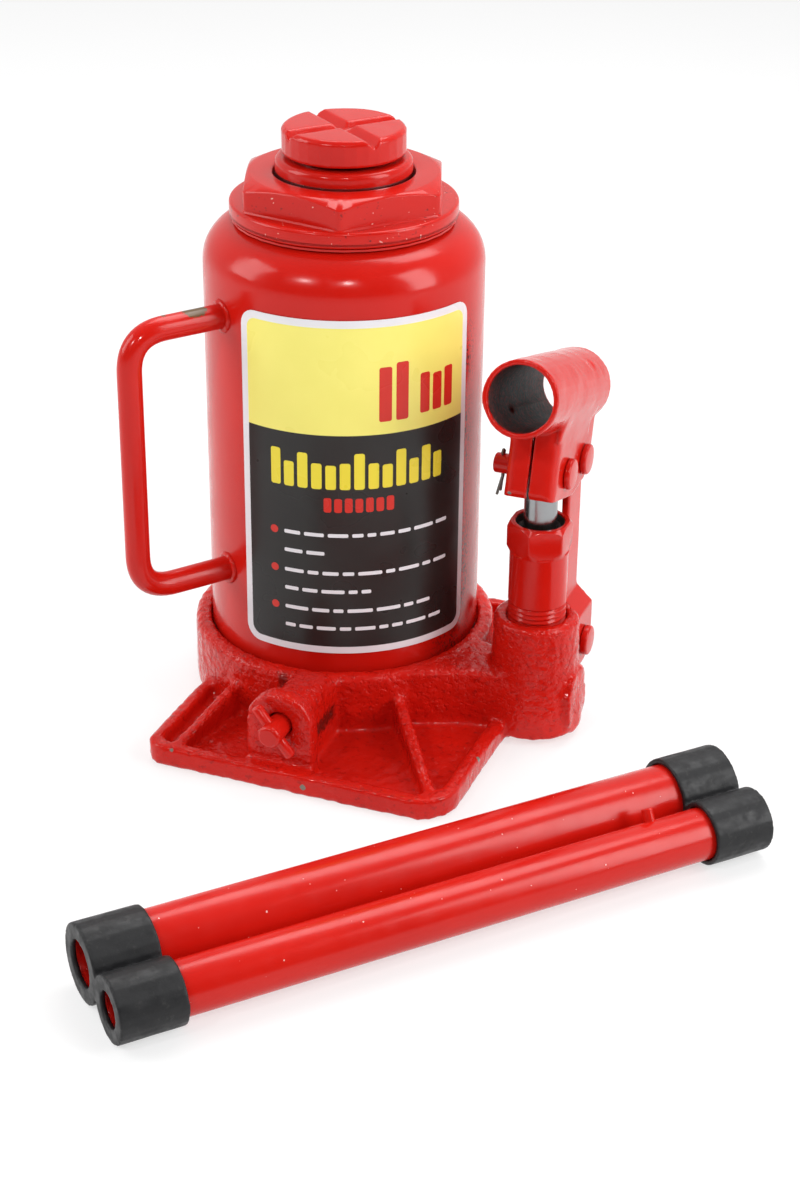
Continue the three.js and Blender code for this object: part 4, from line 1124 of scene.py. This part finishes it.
def lock_stud():
    """The sprung stud that clips the two tubes together."""
    node = "handle_lock_stud"
    mesh = skinned(node, 0.25, 4, sharp=70)
    piece("lock_stud_dome", mesh, "pump_handle", TUBE_RED, [node])


def handle_caps():
    for node, body in (("handle_cap_near", "near_cap"), ("handle_cap_far", "far_cap")):
        mesh = skinned(node, 0.5, 6, layers=((12.0, 0.15),), sharp=60)
        piece(node + "_skin", mesh, body, CAP, [node])


# ---------- pieces shown as the frame has them ----------


def frame_finishes():
    """Procedural finishes for the small inner pieces that keep their CAD shape."""
    finishes = {
        DARK: ["screw_stop_ring", "overload_screw"],
        STEEL: [
            "inner_cylinder", "suction_ball", "delivery_ball", "release_ball", "overload_ball",
            "overload_spring"],
        COPPER: ["cylinder_seat_gasket"],
        ENAMEL: ["tank_upper_gasket"],
        RUBBER: [
            "tank_lower_gasket", "ram_wiper_ring", "piston_seal", "plunger_seal",
            "release_packing", "filler_plug"]}
    for material, nodes in finishes.items():
        for node in nodes:
            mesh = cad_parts[node].data
            mesh.materials.clear()
            mesh.materials.append(material)
            finish_shading(mesh, 40)


# ---------- stage, lights and camera ----------


def floor():
    mesh = bpy.data.meshes.new("floor")
    half = 40.0
    corners = ((-half, -half), (half, -half), (half, half), (-half, half))
    mesh.from_pydata([(x, y, -0.0003) for x, y in corners], [], [(0, 1, 2, 3)])
    item = bpy.data.objects.new("floor", mesh)
    bpy.context.scene.collection.objects.link(item)
    g = Graph("floor_white", (0.36, 0.36, 0.36), 0.9, ior=1.1)
    g.vary(g.noise(300, 2), (0.37, 0.37, 0.37), (0.35, 0.35, 0.35))
    g.shader.inputs["Emission Color"].default_value = (1, 1, 1, 1)
    g.shader.inputs["Emission Strength"].default_value = 0.62
    mesh.materials.append(g.material)


def area_light(name, location, target, size, power):
    data = bpy.data.lights.new(name, "AREA")
    data.shape = "RECTANGLE"
    data.size = size[0]
    data.size_y = size[1]
    data.energy = power
    item = bpy.data.objects.new(name, data)
    bpy.context.scene.collection.objects.link(item)
    item.location = location
    item.rotation_euler = (Vector(target) - Vector(location)).to_track_quat("-Z", "Y").to_euler()


def world_and_lights():
    """A white studio, dim towards the front, with softboxes at both sides and above and two small lamps."""
    world = bpy.data.worlds.new("studio")
    bpy.context.scene.world = world
    world.use_nodes = True
    tree = world.node_tree
    background = tree.nodes["Background"]
    background.inputs["Color"].default_value = (1, 1, 1, 1)
    direction = tree.nodes.new("ShaderNodeTexCoord")
    front = tree.nodes.new("ShaderNodeVectorMath")
    front.operation = "DOT_PRODUCT"
    front.inputs[1].default_value = (0.34, -0.90, 0.1)
    strength = tree.nodes.new("ShaderNodeMapRange")
    strength.inputs["From Min"].default_value = -0.4
    strength.inputs["From Max"].default_value = 0.7
    strength.inputs["To Min"].default_value = 0.72
    strength.inputs["To Max"].default_value = 0.10
    tree.links.new(direction.outputs["Generated"], front.inputs[0])
    tree.links.new(front.outputs["Value"], strength.inputs["Value"])
    tree.links.new(strength.outputs["Result"], background.inputs["Strength"])
    middle = (0.02, -0.04, 0.10)
    area_light("left_softbox", (-1.05, -0.45, 0.75), middle, (0.6, 0.9), 7.5)
    area_light("right_softbox", (1.15, -0.05, 0.65), middle, (0.5, 1.0), 10.3)
    area_light("top_softbox", (0.05, 0.55, 1.25), middle, (1.1, 0.6), 10.3)
    area_light("left_lamp", (-0.30, -1.25, 1.15), middle, (0.09, 0.09), 4.6)
    area_light("right_lamp", (0.55, -1.15, 1.15), middle, (0.09, 0.09), 4.6)
    bpy.context.scene.view_settings.view_transform = "Standard"


def camera():
    """A long lens above and to the right of the release valve, looking down at the jack."""
    data = bpy.data.cameras.new("camera")
    data.lens = 72.49
    data.sensor_width = 36
    item = bpy.data.objects.new("camera", data)
    bpy.context.scene.collection.objects.link(item)
    pitch = math.radians(27.29)
    roll = math.radians(0.56)
    heading = Vector((-0.3569, 0.9341, 0)).normalized()
    forward = heading * math.cos(pitch) - Vector((0, 0, math.sin(pitch)))
    level = forward.cross(Vector((0, 0, 1))).normalized()
    above = level.cross(forward)
    right = level * math.cos(roll) + above * math.sin(roll)
    up = above * math.cos(roll) - level * math.sin(roll)
    rotation = Matrix((right, up, -forward)).transposed()
    item.matrix_world = Matrix.Translation((0.3305, -0.8018, 0.4820)) @ rotation.to_4x4()
    bpy.context.scene.camera = item


base_casting()
tank()
label()
top_nut()
carry_handle()
ram()
extension_screw()
pump_cylinder()
plunger()
handle_socket()
linkage()
release_valve()
handle_tubes()
lock_stud()
handle_caps()
frame_finishes()
floor()
world_and_lights()
camera()
